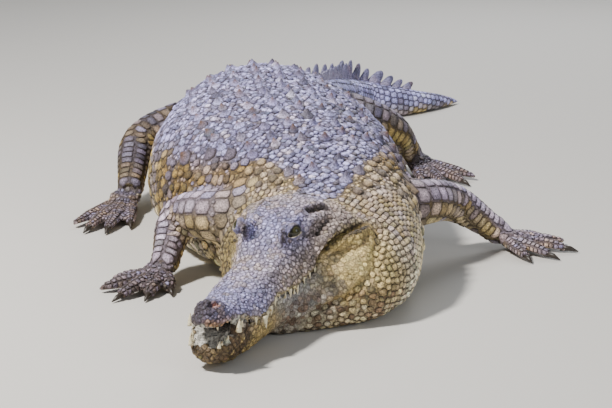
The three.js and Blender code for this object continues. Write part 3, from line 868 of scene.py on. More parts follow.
PIECES = (
    "neck_scales", "trunk_scales_front", "trunk_scales_rear", "tail_scales", "head_scales", "throat_scales",
    "foreleg_left_scales", "foreleg_right_scales", "hindleg_left_scales", "hindleg_right_scales",
)
NECK, TRUNK_A, TRUNK_B, TAIL, HEAD, THROAT = range(6)


def body_piece(s):
    return NECK if s < TRUNK_START else TRUNK_A if s < TRUNK_MIDDLE else TRUNK_B if s < HIPS else TAIL


def ring(tree, origin, axis, up, reach, count=120):
    """The skin's outline round an axis, from the top both ways: angles, points, normals."""
    left = np.cross(axis, up)
    found = []
    for angle in np.linspace(-math.pi, math.pi, count, endpoint=False):
        way = up * math.cos(angle) + left * math.sin(angle)
        place, normal, _, _ = tree.ray_cast(Vector(origin), Vector(way), reach)
        if place is not None:
            found.append((angle, *place, *normal))
    return np.array(found)


def spaced(found, pitch, stagger):
    """Places at even distances along a ring, counted both ways from its top."""
    if len(found) < 3:
        return []
    steps = np.linalg.norm(np.diff(found[:, 1:4], axis=0), axis=1)
    arc = np.concatenate([[0], np.cumsum(np.minimum(steps, 0.06))])
    arc -= np.interp(0.0, found[:, 0], arc)
    first = math.ceil((arc[0] / pitch) - stagger)
    last = math.floor((arc[-1] / pitch) - stagger)
    rows = []
    for k in range(first, last + 1):
        at = (k + stagger) * pitch
        rows.append((at, [np.interp(at, arc, found[:, column]) for column in range(7)]))
    return rows


def turns(count):
    """Even angles once round."""
    return np.linspace(0, 2 * math.pi, count, endpoint=False)


def unit(vector):
    return vector / max(np.linalg.norm(vector), 1e-9)


def settle(tree, point):
    place, normal, _, _ = tree.find_nearest(Vector(point))
    return np.array(place), np.array(normal)


def body_rows(tree, seeds, rng, span, pitch, across, zone, shape, slack=0.055, stretch=1.0, aligned=False):
    """Rows of scales round the body from one distance along it to another, where the zone accepts them."""
    candidates = []
    for row, s in enumerate(np.arange(*span, pitch)):
        middle, half, top, way = on_line(s)
        axis = np.array([*way, 0.0])
        origin = np.array([*middle, top * BODY_CORE])
        found = ring(tree, origin, axis, UP, half * 1.35 + 0.05)
        offset = 0.5 if aligned else 0.5 * (row % 2)
        for at, (_, *place) in spaced(found, across, offset):
            shift = rng.normal(size=3) * pitch * slack
            point, normal = settle(tree, np.array(place[:3]) + shift)
            candidates.append((s, at, *point, *normal, *axis))
    table = np.array(candidates)
    accepted = zone(table[:, 0], table[:, 1], table[:, 2:5], table[:, 5:8])
    for s, _, *rest in table[accepted]:
        point, normal, axis = (np.array(rest[k:k + 3]) for k in (0, 3, 6))
        size, dome, keel, plate = shape(rng)
        seeds.add(point, normal, axis, size, dome, keel, plate, body_piece(s), stretch)


def claimed_by_limb(points, slack=1.30):
    share, reach = limb_place(points)
    return (reach < slack) & (share > 0.13)


LIMB_DOME = 0.0034  # how far a limb's plate stands up
TOE_PITCH, TOE_TURNS = 0.014, (-62, -20, 20, 62)  # rows down a toe, and where its scales stand round it


def limb_rows(tree, seeds, rng, name, piece, size, pitch):
    """Transverse rows of plates down a limb, then bands along its toes."""
    joints, tips, toe = LIMBS[name]
    joints = np.array(joints)
    lengths = np.linalg.norm(np.diff(joints[:, :3], axis=0), axis=1)
    travelled = np.concatenate([[0], np.cumsum(lengths)])
    at = 0.03
    while at < travelled[-1] - 0.010:
        lower = float(smooth_step(travelled[1] + 0.02, travelled[2] - 0.01, at))
        here = np.array([np.interp(at, travelled, joints[:, k]) for k in range(4)])
        before = np.array([np.interp(at - 0.045, travelled, joints[:, k]) for k in range(3)])
        after = np.array([np.interp(at + 0.045, travelled, joints[:, k]) for k in range(3)])
        axis = unit(after - before)
        up = unit(UP - axis * axis[2])
        found = ring(tree, here[:3], axis, up, here[3] * 1.42, 48)
        for _, (_, *place) in spaced(found, size, 0.5):
            point, normal = settle(tree, np.array(place[:3]) + rng.normal(size=3) * pitch * 0.02)
            if place[2] < 0.012 and normal[2] < -0.5:
                continue
            seeds.add(point, normal, axis, size, LIMB_DOME, 0.0, 1.0, piece, 1.12 + 1.15 * lower)
        at += pitch * (1 - 0.50 * lower)
    heel = np.array([joints[3][0], joints[3][1], 0.030])
    for tip in tips:
        end = np.array([*tip, toe])
        axis = unit(end - heel)
        side = unit(np.cross(axis, UP))
        length = np.linalg.norm(end - heel)
        for at in np.arange(0.035, length - TOE_PITCH, TOE_PITCH):
            for turn in np.radians(TOE_TURNS):
                way = side * math.sin(turn) + UP * math.cos(turn)
                middle = heel + axis * at
                middle[2] = toe * 0.9
                place, normal, _, _ = tree.ray_cast(Vector(middle), Vector(way), 0.06)
                if place is None:
                    continue
                seeds.add(np.array(place), np.array(normal), axis, 0.0150, LIMB_DOME, 0.0, 0.7, piece)


def throat_line(points):
    """True where the squarish scales of the throat and jowl lie."""
    along, _, z = head_place(points)
    return (along > jaw_crease(z) + 0.004) & (along < 0.86) & (z < 0.285)


def throat_rows(tree, seeds, rng, size):
    """Close rows of squarish scales round the throat and jowl."""
    for row, along in enumerate(np.arange(0.36, 0.87, size * 1.12)):
        origin = in_head(along, 0.0, 0.13)
        found = ring(tree, origin, HEAD_BACK, UP, 0.36, 150)
        for _, (_, *place) in spaced(found, size, 0.5 + 0.5 * (row % 2) * (along > 0.70)):
            point, normal = settle(tree, np.array(place[:3]) + rng.normal(size=3) * size * 0.05)
            faces_back = normal @ HEAD_BACK > 0.92
            if not throat_line(point[None])[0] or faces_back or claimed_by_limb(point[None])[0]:
                continue
            grow = 1 + 0.5 * float(smooth_step(0.68, 0.84, along))
            seeds.add(point, normal, HEAD_BACK, size * grow, 0.0042, 0.0, 0.8, THROAT)


# Scutes of the nape: distance along the body, arc from its midline, and height in keels.
NAPE_KEELS = [(0.385, -0.060, 1.1), (0.395, 0.060, 1.1), (0.445, -0.092, 0.9), (0.455, 0.092, 0.9),
              (0.45, -0.03, 1.0), (0.46, 0.03, 1.0), (0.50, -0.04, 0.8), (0.51, 0.045, 0.8)]


def keel_places(rng):
    """Where the keeled scutes stand, as in the nape's list: rows down the back, then the nape."""
    places = []
    for s in np.arange(KEEL_START, 1.70, KEEL_PITCH):
        for column in range(4 if 0.72 < s < 1.5 else 3):
            for side in (-1, 1):
                at, arc = s + rng.normal() * 0.006, side * (0.034 + 0.070 * column) + rng.normal() * 0.005
                places.append((at, arc, 1.0 - 0.12 * column))
    return places + NAPE_KEELS


# Large dark plates with a ridge, at the edge of the shoulders.
SHOULDER_PLATES = [(-0.378, -0.647, 0.286), (-0.301, -0.733, 0.316), (-0.243, -0.791, 0.328)]


def on_back(tree, s, arc):
    """The place on the skin at a distance along the body and an arc to its left."""
    middle, half, top, way = on_line(s)
    axis = np.array([*way, 0.0])
    found = ring(tree, np.array([*middle, top * BODY_CORE]), axis, UP, half * 1.35 + 0.05)
    steps = np.linalg.norm(np.diff(found[:, 1:4], axis=0), axis=1)
    length = np.concatenate([[0], np.cumsum(np.minimum(steps, 0.06))])
    length -= np.interp(0.0, found[:, 0], length)
    point, normal = settle(tree, [np.interp(arc, length, found[:, k]) for k in (1, 2, 3)])
    return point, normal, axis


def kept(data, existing, share):
    """Which of the new seeds lie clear of the existing ones."""
    if existing is None:
        return np.ones(len(data["point"]), bool)
    tree = KDTree(len(existing["point"]))
    for i, p in enumerate(existing["point"]):
        tree.insert(p, i)
    tree.balance()
    keep = []
    for p, size in zip(data["point"], data["size"]):
        clear = all(d > share * 0.5 * (size + existing["size"][i]) for _, i, d in tree.find_n(p, 4))
        keep.append(clear)
    return np.array(keep)


def merged(a, b):
    return b if a is None else {name: np.concatenate([a[name], b[name]]) for name in b}


def jaw_share(points):
    """1 on the smooth jaw under the lips, 0 above them and at the snout's end."""
    along, _, z = head_place(points)
    return smooth_step(0.0, 0.012, along_profile(LIP, along) - z) * smooth_step(0.16, 0.24, along)


GRANULE_TRIES = 90000
GRID_CELL = 0.02  # side of a cell of the grid that finds a granule's neighbours
NEIGHBOURS = [(dx, dy, dz) for dx in (-1, 0, 1) for dy in (-1, 0, 1) for dz in (-1, 0, 1)]


def crowded(grid, place, reach):
    """True where a granule of that reach would touch one that is already there."""
    base = (place // GRID_CELL).astype(int)
    for step in NEIGHBOURS:
        for x, y, z, other in grid.get((base[0] + step[0], base[1] + step[1], base[2] + step[2]), ()):
            apart = 0.92 * (reach + other)
            if (place[0] - x) ** 2 + (place[1] - y) ** 2 + (place[2] - z) ** 2 < apart * apart:
                return True
    return False


def fill(skin, existing, rng, size_at, piece_at, tries):
    """Small granules dropped wherever the rows leave room."""
    skin.calc_loop_triangles()
    corners = np.zeros(len(skin.loop_triangles) * 3, int)
    skin.loop_triangles.foreach_get("vertices", corners)
    corners = corners.reshape(-1, 3)
    points = vertex_array(skin)
    a, b, c = (points[corners[:, k]] for k in range(3))
    normals = np.cross(b - a, c - a)
    area = np.linalg.norm(normals, axis=1) / 2
    middle = (a + b + c) / 3
    size = size_at(middle, normals / (2 * area[:, None] + 1e-12))
    weight = np.where(size > 0, area / np.maximum(size, 1e-4) ** 2, 0.0)
    picks = rng.choice(len(corners), tries, p=weight / weight.sum())
    u, v = rng.random(tries), rng.random(tries)
    flip = u + v > 1
    u, v = np.where(flip, 1 - u, u), np.where(flip, 1 - v, v)
    place = a[picks] + (b - a)[picks] * u[:, None] + (c - a)[picks] * v[:, None]
    normal = normals[picks] / (2 * area[picks, None])
    wanted = size[picks] * rng.uniform(0.74, 1.28, tries)
    grid = {}

    def insert(p, r):
        grid.setdefault(tuple((p // GRID_CELL).astype(int)), []).append((*p, r))

    for p, s, plate in zip(existing["point"], existing["size"], existing["plate"]):
        insert(p, s * (0.5 + 0.22 * (plate > 0.9)))
    accepted = []
    for i in range(tries):
        if not crowded(grid, place[i], wanted[i] / 2):
            insert(place[i], wanted[i] / 2)
            accepted.append(i)
    accepted = np.array(accepted)
    place, normal, wanted = place[accepted], normal[accepted], wanted[accepted]
    s, _, _ = body_place(place)
    piece = piece_at(place, s)
    axis = np.stack([np.interp(s, LINE_LENGTH, way) for way in (*LINE_WAY.T, np.zeros(len(LINE)))], axis=-1)
    axis = np.where((piece == HEAD)[:, None], HEAD_BACK, axis)
    knobs = (0.19 + 0.10 * wobble(place, 0.02, 41)) * (1 - 0.6 * jaw_share(place))
    return {
        "point": place, "normal": normal, "lie": axis, "size": wanted,
        "dome": wanted * np.where(piece == HEAD, knobs, 0.20),
        "plate": np.where(piece == HEAD, 0.9, 0.1),
        "keel": np.zeros(len(place)), "piece": piece.astype(float), "stretch": np.ones(len(place)),
    }


def cell_outline(data, sides, gap, rng):
    """Radius of each scale each way round, out to halfway to its neighbours, with rounded corners."""
    count = len(data["point"])
    tree = KDTree(count)
    for i, p in enumerate(data["point"]):
        tree.insert(p, i)
    tree.balance()
    index = np.zeros((count, NEAREST), int)
    for i, p in enumerate(data["point"]):
        hits = tree.find_n(p, NEAREST + 1)
        index[i] = [h[1] for h in hits[1:]]
    normal = data["normal"]
    lie = data["lie"] - normal * (data["lie"] * normal).sum(1, keepdims=True)
    length = np.linalg.norm(lie, axis=1, keepdims=True)
    lie = np.where(length > 0.05, lie / np.maximum(length, 1e-9), np.cross(normal, (0.0, 1.0, 0.0)))
    lie /= np.linalg.norm(lie, axis=1, keepdims=True) + 1e-9
    side = np.cross(normal, lie)
    offset = data["point"][index] - data["point"][:, None]
    x = (offset * lie[:, None]).sum(-1)
    y = (offset * side[:, None]).sum(-1)
    distance = np.linalg.norm(offset, axis=-1) + 1e-9
    flat = np.hypot(x, y) + 1e-9
    x, y = x / flat, y / flat
    size = data["size"]
    bisector = distance * size[:, None] / (size[:, None] + size[index])
    angle = np.arange(sides) * 2 * math.pi / sides
    angle = np.arctan2(np.sin(angle)[None] * data["stretch"][:, None], np.cos(angle)[None])
    angle = angle + (rng.uniform(-0.35, 0.35, count) * (1 - data["plate"]))[:, None]
    facing = x[:, None] * np.cos(angle)[..., None] + y[:, None] * np.sin(angle)[..., None]
    reach = np.where(facing > 0.12, bisector[:, None] / np.maximum(facing, 0.12), 9.0)
    plate = data["plate"][:, None, None]
    cap = size[:, None, None] * (0.60 + 0.60 * plate) * np.ones((1, sides, 1))
    reach = np.concatenate([reach, cap], axis=-1)
    power = 7.0 + 9.0 * plate
    radius = (reach**-power).sum(-1) ** (-1 / power[..., 0]) * (1 - gap * (1 - 0.5 * plate[..., 0]))
    return radius, angle, lie, side


def faintness(data):
    """How faint the dark rim of each scale is: 0 on the body, a little on the head, most on the jaw."""
    return np.where(data["piece"] == HEAD, 0.12 + 0.55 * jaw_share(data["point"]), 0.0)


def scale_mesh(name, data, outline, rings, skin_tree, sides, rng):
    """One mesh of all the scales of a piece: domed cells whose rims sink into the skin."""
    radius, angle, lie, side = outline
    count = len(data["point"])
    colours = bpy.context.scene.crocodile_colours
    gap, rust = np.array(colours.gap), np.array(colours.rust)
    blocks, tones, patches = [], [], []
    along, around = unrolled(name, data["point"])
    normal, dome, keel = data["normal"], data["dome"], data["keel"]
    for share, height, ridge, tone in rings:
        narrow = np.where(keel > 0, 1 - 0.75 * ridge, 1.0)[:, None]
        out = radius * share
        out = out * np.where((data["plate"] > 0.9) & (share < 1) & (share > 0.9), 1.025, 1.0)[:, None]
        dx, dy = out * np.cos(angle), out * np.sin(angle) * narrow
        back = (np.where(keel > 0, 0.24 * ridge, 0.05) * data["size"])[:, None]
        height = height + data["plate"] * (0.30 if 0 < height < 0.6 else 0.0)
        flat = data["point"][:, None] + lie[:, None] * (dx + back)[..., None] + side[:, None] * dy[..., None]
        tilt = 0.30 * np.cos(angle) * share * dome[:, None] * (np.max(height) > 0)
        lift = np.broadcast_to(height, count)[:, None] * dome[:, None] + ridge * keel[:, None] + tilt
        blocks.append((flat, lift))
        tones.append(np.full((count, sides), tone))
        patches.append(np.stack([along[:, None] + PATCH_RADIUS * share * np.cos(angle),
                                 around[:, None] + PATCH_RADIUS * share * np.sin(angle)], axis=-1))
    levels = len(rings)
    flat = np.concatenate([b[0] for b in blocks], axis=1).reshape(-1, 3)
    lift = np.concatenate([b[1] for b in blocks], axis=1).reshape(-1)
    placed = np.array([skin_tree.find_nearest(Vector(p), 0.08)[0] or p for p in flat])
    per = levels * sides
    way = np.repeat(normal, per, axis=0)
    verts = placed + way * lift[:, None]
    last = verts.reshape(count, per, 3)[:, -sides:]
    top = last.mean(1)
    peak = (np.where(keel > 0, 0.10 * keel, 0.02 * data["size"]))[:, None]
    top = top + normal * peak
    verts = np.concatenate([verts.reshape(count, per, 3), top[:, None]], axis=1)
    verts[..., 2] = np.maximum(verts[..., 2], 0.0003)
    tone = np.concatenate(tones + [np.full((count, 1), rings[-1][3])], axis=1)
    tone = mix(tone[..., None], 1.0, faintness(data)[:, None])[..., 0]
    seed_colour = markings(data["point"], normal)
    spread = np.where(data["piece"] < TAIL, 0.50, np.where(data["piece"] == HEAD, 0.22, 0.26))[:, None]
    varied = 1 + spread * rng.normal(size=(count, 1)) + 0.02 * rng.normal(size=(count, 3))
    seed_colour = seed_colour * np.clip(varied, 0.35, 1.9)
    stray = rng.random((count, 1)) * (data["piece"] != HEAD)[:, None]
    stray = stray * np.where((data["piece"] == THROAT) | (data["piece"] == NECK), 0.72, 0.9)[:, None]
    back, slate = np.array(colours.back), np.array(colours.slate)
    seed_colour = np.where(stray > 0.86, seed_colour * 0.45 + back * 0.50, seed_colour)
    slaty = (stray > 0.72) & (stray < 0.86)
    seed_colour = np.where(slaty, seed_colour * 0.45 + slate * 0.7 + rust * 0.2, seed_colour)
    dark_plate = ((data["size"] > 0.049) & (keel > 0.005))[:, None]
    seed_colour = np.where(dark_plate, slate * 1.1 + rust * 0.35, np.clip(seed_colour, 0.01, 0.95))
    shade = mix(gap[None, None], seed_colour[:, None], np.clip(tone, 0, 1))
    shade = shade * np.where(tone > 1, tone, 1.0)[..., None]
    peaked = [ridge for _, _, ridge, _ in rings for _ in range(sides)] + [1.0]
    peaked = np.array(peaked)[None] * (keel > 0.004)[:, None]
    tips = np.where(rng.random((count, 1, 1)) < 0.5, BROWN_TIP, slate * 0.4 + rust * 0.15)
    shade = mix(shade, tips, smooth_step(0.04, 0.55, peaked) * 0.92)
    # Painted shade along the face's folds and creases, on the scales of the head and throat too.
    if name in ("head_scales", "throat_scales"):
        dark = fold_lines(*head_place(verts.reshape(-1, 3)))[0].reshape(count, -1)
        shade = mix(shade, PAINTED_FOLD_SHADE, 0.85 * dark)
    patch = np.concatenate(patches + [np.stack([along, around], axis=-1)[:, None]], axis=1)
    step = np.arange(sides)
    following = (step + 1) % sides
    faces = []
    for level in range(levels - 1):
        low, high = level * sides, (level + 1) * sides
        faces.append(np.stack([low + step, low + following, high + following, high + step], axis=-1))
    quads = np.concatenate(faces)
    highest = (levels - 1) * sides
    tip = np.stack([highest + step, highest + following, np.full(sides, per)], axis=-1)
    base = (np.arange(count) * (per + 1))[:, None, None]
    quads, tips = (quads[None] + base).reshape(-1, 4), (tip[None] + base).reshape(-1, 3)
    mesh = bpy.data.meshes.new(name)
    mesh.vertices.add(count * (per + 1))
    mesh.vertices.foreach_set("co", verts.ravel())
    loops = np.concatenate([quads.ravel(), tips.ravel()])
    mesh.loops.add(len(loops))
    mesh.loops.foreach_set("vertex_index", loops)
    totals = np.concatenate([np.full(len(quads), 4), np.full(len(tips), 3)])
    starts = np.concatenate([[0], np.cumsum(totals)[:-1]])
    mesh.polygons.add(len(totals))
    mesh.polygons.foreach_set("loop_start", starts)
    mesh.update(calc_edges=True)
    uv = mesh.uv_layers.new(name="OFBake")
    uv.data.foreach_set("uv", patch.reshape(-1, 2)[loops].ravel())
    paint(mesh, shade.reshape(-1, 3))
    smooth(mesh)
    return mesh


SIDES = 8  # corners of a scale
SCALE_GAP = 0.03  # share of a scale's radius left free round it
NEAREST = 14  # neighbours that shape a scale's outline
BROWN_TIP = (0.115, 0.052, 0.024)
# Each ring of a scale: share of its radius, height in domes, height in keels, and tone (0 is the gap's,
# 1 the full colour).
SCALE_RINGS = [
    (1.00, -0.60, 0.0, 0.0), (0.94, 0.40, 0.0, 0.14), (0.76, 0.88, 0.06, 0.90), (0.24, 1.05, 0.62, 1.38),
]


def plan_scales(skin, tree, sizes):
    rng = np.random.default_rng(sizes.seed)
    total = None

    def take(seeds, share):
        nonlocal total
        data = seeds.arrays()
        keep = kept(data, total, share)
        total = merged(total, {name: values[keep] for name, values in data.items()})

    # Keeled scutes of the back, then the dark plates of the shoulders.
    seeds = Seeds()
    for s, arc, height in keel_places(rng):
        point, normal, axis = on_back(tree, s, arc)
        if not claimed_by_limb(point[None], 1.1)[0]:
            size, keel = 0.042 * rng.uniform(0.85, 1.1), sizes.keel * height * rng.uniform(0.8, 1.15)
            seeds.add(point, normal, axis, size, 0.0035, keel, 0.5, body_piece(s))
    for place in SHOULDER_PLATES:
        point, normal = settle(tree, place)
        s = body_place(point[None])[0][0]
        seeds.add(point, normal, np.array([0.4, 0.92, 0.0]), 0.056, 0.0080, 0.016, 0.4, TRUNK_A)
        seeds.add(*on_back(tree, s, 0.30), 0.050, 0.0075, 0.014, 0.4, TRUNK_A)
    take(seeds, 0.9)

    # Round beads of the shoulders and of the neck's sides.
    seeds = Seeds()

    def beads(s, arc, point, normal):
        taken = claimed_by_limb(point) | (head_place(point)[0] < 0.70) | throat_line(point)
        floor = np.where(s > 0.60, 0.165, 0.10)
        return ~taken & (np.abs(arc) > dorsal_half(s) + 0.015) & (point[:, 2] > floor)

    body_rows(tree, seeds, rng, (0.24, 0.94), 0.040, 0.040, beads,
              lambda rng: (rng.uniform(0.024, 0.034), rng.uniform(0.0065, 0.0095), 0.0, 0.0))
    take(seeds, 0.85)

    # Flanks: scales taller than long, in even rows.
    seeds = Seeds()

    def flanks(s, arc, point, normal):
        under = (point[:, 2] < 0.02) & (normal[:, 2] < -0.6)
        taken = claimed_by_limb(point) | (head_place(point)[0] < 0.70) | under
        return ~taken & (np.abs(arc) > dorsal_half(s) + 0.01)

    body_rows(tree, seeds, rng, (0.62, TAIL_START), 0.030, 0.034, flanks,
              lambda rng: (rng.uniform(0.026, 0.032), rng.uniform(0.004, 0.006), 0.0, 0.55))
    take(seeds, 0.80)

    # The tail's whorls: oblong plates in aligned rows.
    seeds = Seeds()

    def tail(s, arc, point, normal):
        return ~claimed_by_limb(point, 1.1) & ~((point[:, 2] < 0.008) & (normal[:, 2] < -0.6))

    body_rows(tree, seeds, rng, (TAIL_START, 2.72), 0.040, 0.034, tail,
              lambda rng: (0.036, 0.0036, 0.0, 1.0), aligned=True)
    body_rows(tree, seeds, rng, (2.72, TAIL_END - 0.02), 0.026, 0.022, tail,
              lambda rng: (0.024, 0.0024, 0.0, 1.0), aligned=True)
    take(seeds, 0.80)

    # Limbs.
    for number, name in enumerate(LIMBS):
        seeds = Seeds()
        limb_rows(tree, seeds, rng, name, 6 + number, sizes.limb, sizes.limb * 0.86)
        take(seeds, 0.60)

    seeds = Seeds()
    throat_rows(tree, seeds, rng, sizes.throat)
    take(seeds, 0.80)

    # The wrinkled back: short rows of flakes, broader than long.
    seeds = Seeds()

    def wrinkles(s, arc, point, normal):
        taken = claimed_by_limb(point, 1.1) | (head_place(point)[0] < HEAD_LENGTH)
        return ~taken & (np.abs(arc) < dorsal_half(s) + 0.012 * np.sin(s * 70))

    body_rows(tree, seeds, rng, (0.20, HIPS + 0.07), 0.0135, 0.024, wrinkles,
              lambda rng: (rng.uniform(0.011, 0.022), rng.uniform(0.0020, 0.0074), 0.0, 0.35),
              slack=0.20, stretch=1.6)
    take(seeds, 0.70)

    # Granules in all the room that is left; the head's small plates too.
    def size_at(points, normals):
        along, across, z = head_place(points)
        s, _, _ = body_place(points)
        head = near_head(points) & (along < HEAD_LENGTH + 0.02) & ~claimed_by_limb(points)
        size = np.where(head, sizes.head * (1 + 0.25 * smooth_step(0.1, 0.5, along)), 0.0115)
        size = np.where(head & (z < along_profile(LIP, along) - 0.01), sizes.head * 1.35, size)
        eye = np.hypot(np.hypot(along - EYE_ALONG, np.abs(across) - EYE_SIDE), z - EYE_HEIGHT)
        size = np.where(head & (eye < 0.040), 0.0065, size)
        size = np.where((s > 2.2) & ~head, 0.013, size)
        size = np.where(head & (eye < 0.0225), 0.0, size)
        size = np.where(in_mouth(along, across, z), 0.0, size)
        return np.where((points[:, 2] < 0.005) | ((normals[:, 2] < -0.75) & (points[:, 2] < 0.09)), 0.0, size)

    def piece_at(points, s):
        along, _, _ = head_place(points)
        piece = np.select([s < TRUNK_START, s < TRUNK_MIDDLE, s < HIPS], [NECK, TRUNK_A, TRUNK_B], TAIL)
        head = near_head(points) & (along < HEAD_LENGTH + 0.02)
        limb = claimed_by_limb(points)
        for number, (joints, _, _) in enumerate(LIMBS.values()):
            middle = np.mean([j[:2] for j in joints], axis=0)
            close = np.linalg.norm(points[:, :2] - middle, axis=1) < 0.42
            piece = np.where(limb & close, 6 + number, piece)
        return np.where(head & ~limb, HEAD, piece)

    total = merged(total, fill(skin, total, rng, size_at, piece_at, GRANULE_TRIES))
    return total, rng


class CROCODILE_OT_scales(bpy.types.Operator):
    """Lays the scales over the skin: keeled scutes, wrinkles, beads, plates and granules"""

    bl_idname = "crocodile.scales"
    bl_label = "Scales"

    def execute(self, context):
        skin = bpy.data.objects["skin"]
        tree = MODEL["tree"]
        data, rng = plan_scales(skin.data, tree, context.scene.crocodile_sizes)
        outline = cell_outline(data, SIDES, SCALE_GAP, rng)
        for number, name in enumerate(PIECES):
            chosen = data["piece"] == number
            if not chosen.any():
                continue
            part = {key: values[chosen] for key, values in data.items()}
            cut = [values[chosen] for values in outline]
            mesh = scale_mesh(name, part, cut, SCALE_RINGS, tree, SIDES, rng)
            add_object(name, mesh, scale_material())
        return {"FINISHED"}


# ---- Eyes, teeth, claws and crest ----------------------------------------------------------


def grid_mesh(name, rows, closed_ends=False):
    """A mesh from rings of points: each row closes on itself, and one face may close each end."""
    rows = np.array(rows)
    around = rows.shape[1]
    bm = bmesh.new()
    verts = [[bm.verts.new(p) for p in row] for row in rows]
    for low, high in zip(verts, verts[1:]):
        for i in range(around):
            j = (i + 1) % around
            bm.faces.new((low[i], low[j], high[j], high[i]))
    if closed_ends:
        bm.faces.new(verts[-1])
        bm.faces.new(list(reversed(verts[0])))
    bmesh.ops.recalc_face_normals(bm, faces=bm.faces)
    mesh = bpy.data.meshes.new(name)
    bm.to_mesh(mesh)
    bm.free()
    return mesh


def eye_frame(side):
    """The eye's middle, the way it looks, the way its slit runs back, and the way across the slit."""
    centre = in_head(EYE_ALONG, side * EYE_SIDE, EYE_HEIGHT)
    gaze = unit(HEAD_BACK * -0.52 + HEAD_LEFT * side * 0.74 + np.array([0, 0, 0.40]))
    back = unit(HEAD_BACK * 0.95 + np.array([0, 0, 0.26]))
    back = unit(back - gaze * (back @ gaze))
    over = np.cross(gaze, back) * (1 if np.cross(gaze, back)[2] > 0 else -1)
    return centre, gaze, back, over


def on_eye(frame_of_eye, radius, spread, turn):
    centre, gaze, back, over = frame_of_eye
    sideways = back * math.cos(turn) + over * math.sin(turn)
    return centre + radius * (gaze * math.cos(spread) + sideways * math.sin(spread))


# Rings of the eyeball, as angles from its gaze, closest on the iris.
EYE_SPREADS = [0.004, *np.radians([
    1.5, 3, 5, 7, 9, 11, 13, 15, 17, 19, 21, 24, 28, 32, 37, 43, 50, 58, 70, 85, 100, 120, 140, 160, 178,
])]
# Half of the opening behind, before and across the gaze, as angles at the eye's middle.
LID_BACK, LID_FRONT, LID_OVER = math.radians(52), math.radians(72), math.radians(34)
# Rings of a lid from its edge outwards: share of the way out, and distance from the eye's middle in radii.
LID_RINGS = [
    (0.0, 1.012), (0.03, 1.10), (0.10, 1.165), (0.20, 1.15), (0.34, 1.19), (0.50, 1.15), (0.66, 1.17),
    (0.84, 1.10), (1.0, 0.96),
]
LID_STEPS, LID_REACH = 96, math.radians(98)


def lid_mesh(side, radius):
    """Both lids of one eye: a shell over the eyeball with an almond opening and creases round it."""
    where = eye_frame(side)
    rows = []
    for share, rise in LID_RINGS:
        row = []
        for turn in turns(LID_STEPS):
            pointed = 1 + 0.20 * max(math.cos(turn), -math.cos(turn)) ** 10
            corner = LID_BACK if math.cos(turn) > 0 else LID_FRONT * (1.0 if side > 0 else 0.5)
            inner = pointed / math.hypot(math.cos(turn) / corner, math.sin(turn) / LID_OVER)
            spread = inner + (LID_REACH - inner) * share
            brow = 0.10 * max(math.sin(turn), 0) ** 1.5 * math.sin(math.pi * min(share * 1.3, 1))
            row.append(on_eye(where, radius * (rise + brow), spread, turn))
        rows.append(row)
    return grid_mesh("lids", rows)


class CROCODILE_OT_eyes(bpy.types.Operator):
    """Sets the eyeballs with their slit pupils, and the lids round them"""

    bl_idname = "crocodile.eyes"
    bl_label = "Eyes"

    def execute(self, context):
        sizes, colours = context.scene.crocodile_sizes, context.scene.crocodile_colours
        wet, tree, shader = new_material("Eye", (1, 1, 1), 0.06)
        painted = tree.nodes.new("ShaderNodeAttribute")
        painted.attribute_name = "Hide"
        tree.links.new(painted.outputs["Color"], shader.inputs["Base Color"])
        for side, name in ((1, "left"), (-1, "right")):
            where = eye_frame(side)
            rows = [[on_eye(where, sizes.eye, spread, turn) for turn in turns(128)] for spread in EYE_SPREADS]
            mesh = grid_mesh(f"eyeball_{name}", rows, True)
            offset = vertex_array(mesh) - where[0]
            along, over = offset @ where[2] / sizes.eye, offset @ where[3] / sizes.eye
            iris = np.array(colours.iris)
            slit = smooth_step(0.105, 0.075, np.abs(along) + 0.10 * (over / 0.36) ** 2)
            slit = slit * smooth_step(0.40, 0.34, np.abs(over))
            ripple = 1 + 0.35 * np.sin(np.arctan2(over, along) * 23) * np.sin(np.hypot(along, over) * 40)
            tone = iris * ripple[:, None]
            tone = mix(tone, iris * 0.25, smooth_step(0.46, 0.62, np.hypot(along, over)))
            paint(mesh, np.clip(mix(tone, np.full(3, 0.002), slit), 0, 1))
            smooth(mesh)
            ball = add_object(f"eyeball_{name}", mesh, wet)
            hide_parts(f"eye_{name}")
            lids = lid_mesh(side, sizes.eye)
            base = markings(vertex_array(lids), vertex_array(lids, "normal"))
            rim = np.zeros(len(base))
            rim[: LID_STEPS * 2] = 1.0
            shade = mix(base * 0.75, np.array(colours.gap), 0.25)
            above = vertex_array(lids)[:, 2] - where[0][2]
            shade = mix(shade, np.array(colours.cream) * 0.55, rim * (above < 0.002) * 0.7)
            shade = mix(shade, np.full(3, 0.012), rim * (above >= 0.004) * 0.8)
            paint(lids, shade)
            smooth(lids)
            add_object(f"eyelids_{name}", lids, skin_material())
        return {"FINISHED"}


TOOTH_LEAN, TOOTH_ROOT = 0.15, 0.006  # how far a tooth leans out, and how deep it stands in the gum
LONG_TOOTH_SWELL = 0.3230769230769231  # how much stouter a long tooth's foot is, in radii
# Teeth: distance behind the snout's tip, how far inside the jaw's side, length and radius.
UPPER_TEETH = [
    (.030, .006, .006, .0034), (.112, .006, .009, .0042), (.163, .003, .015, .0050),
    (.186, .000, .027, .0062), (.206, .003, .013, .0048), (.224, .002, .018, .0048),
    (.256, .001, .019, .0046), (.289, .003, .011, .0042), (.338, .000, .018, .0046),
    (.368, .000, .018, .0046), (.399, .001, .013, .0042), (.420, .001, .013, .0038),
    (.440, .002, .010, .0035),
]
LOWER_TEETH = [
    (.028, .002, .024, .0054), (.040, .010, .010, .0036), (.056, .006, .008, .0036),
    (.080, -.007, .025, .0064), (.108, .000, .009, .0044), (.142, .006, .010, .0042),
    (.170, .006, .010, .0042), (.240, .001, .012, .0038), (.272, .002, .014, .0038),
    (.312, .000, .012, .0036), (.352, .000, .010, .0036),
]


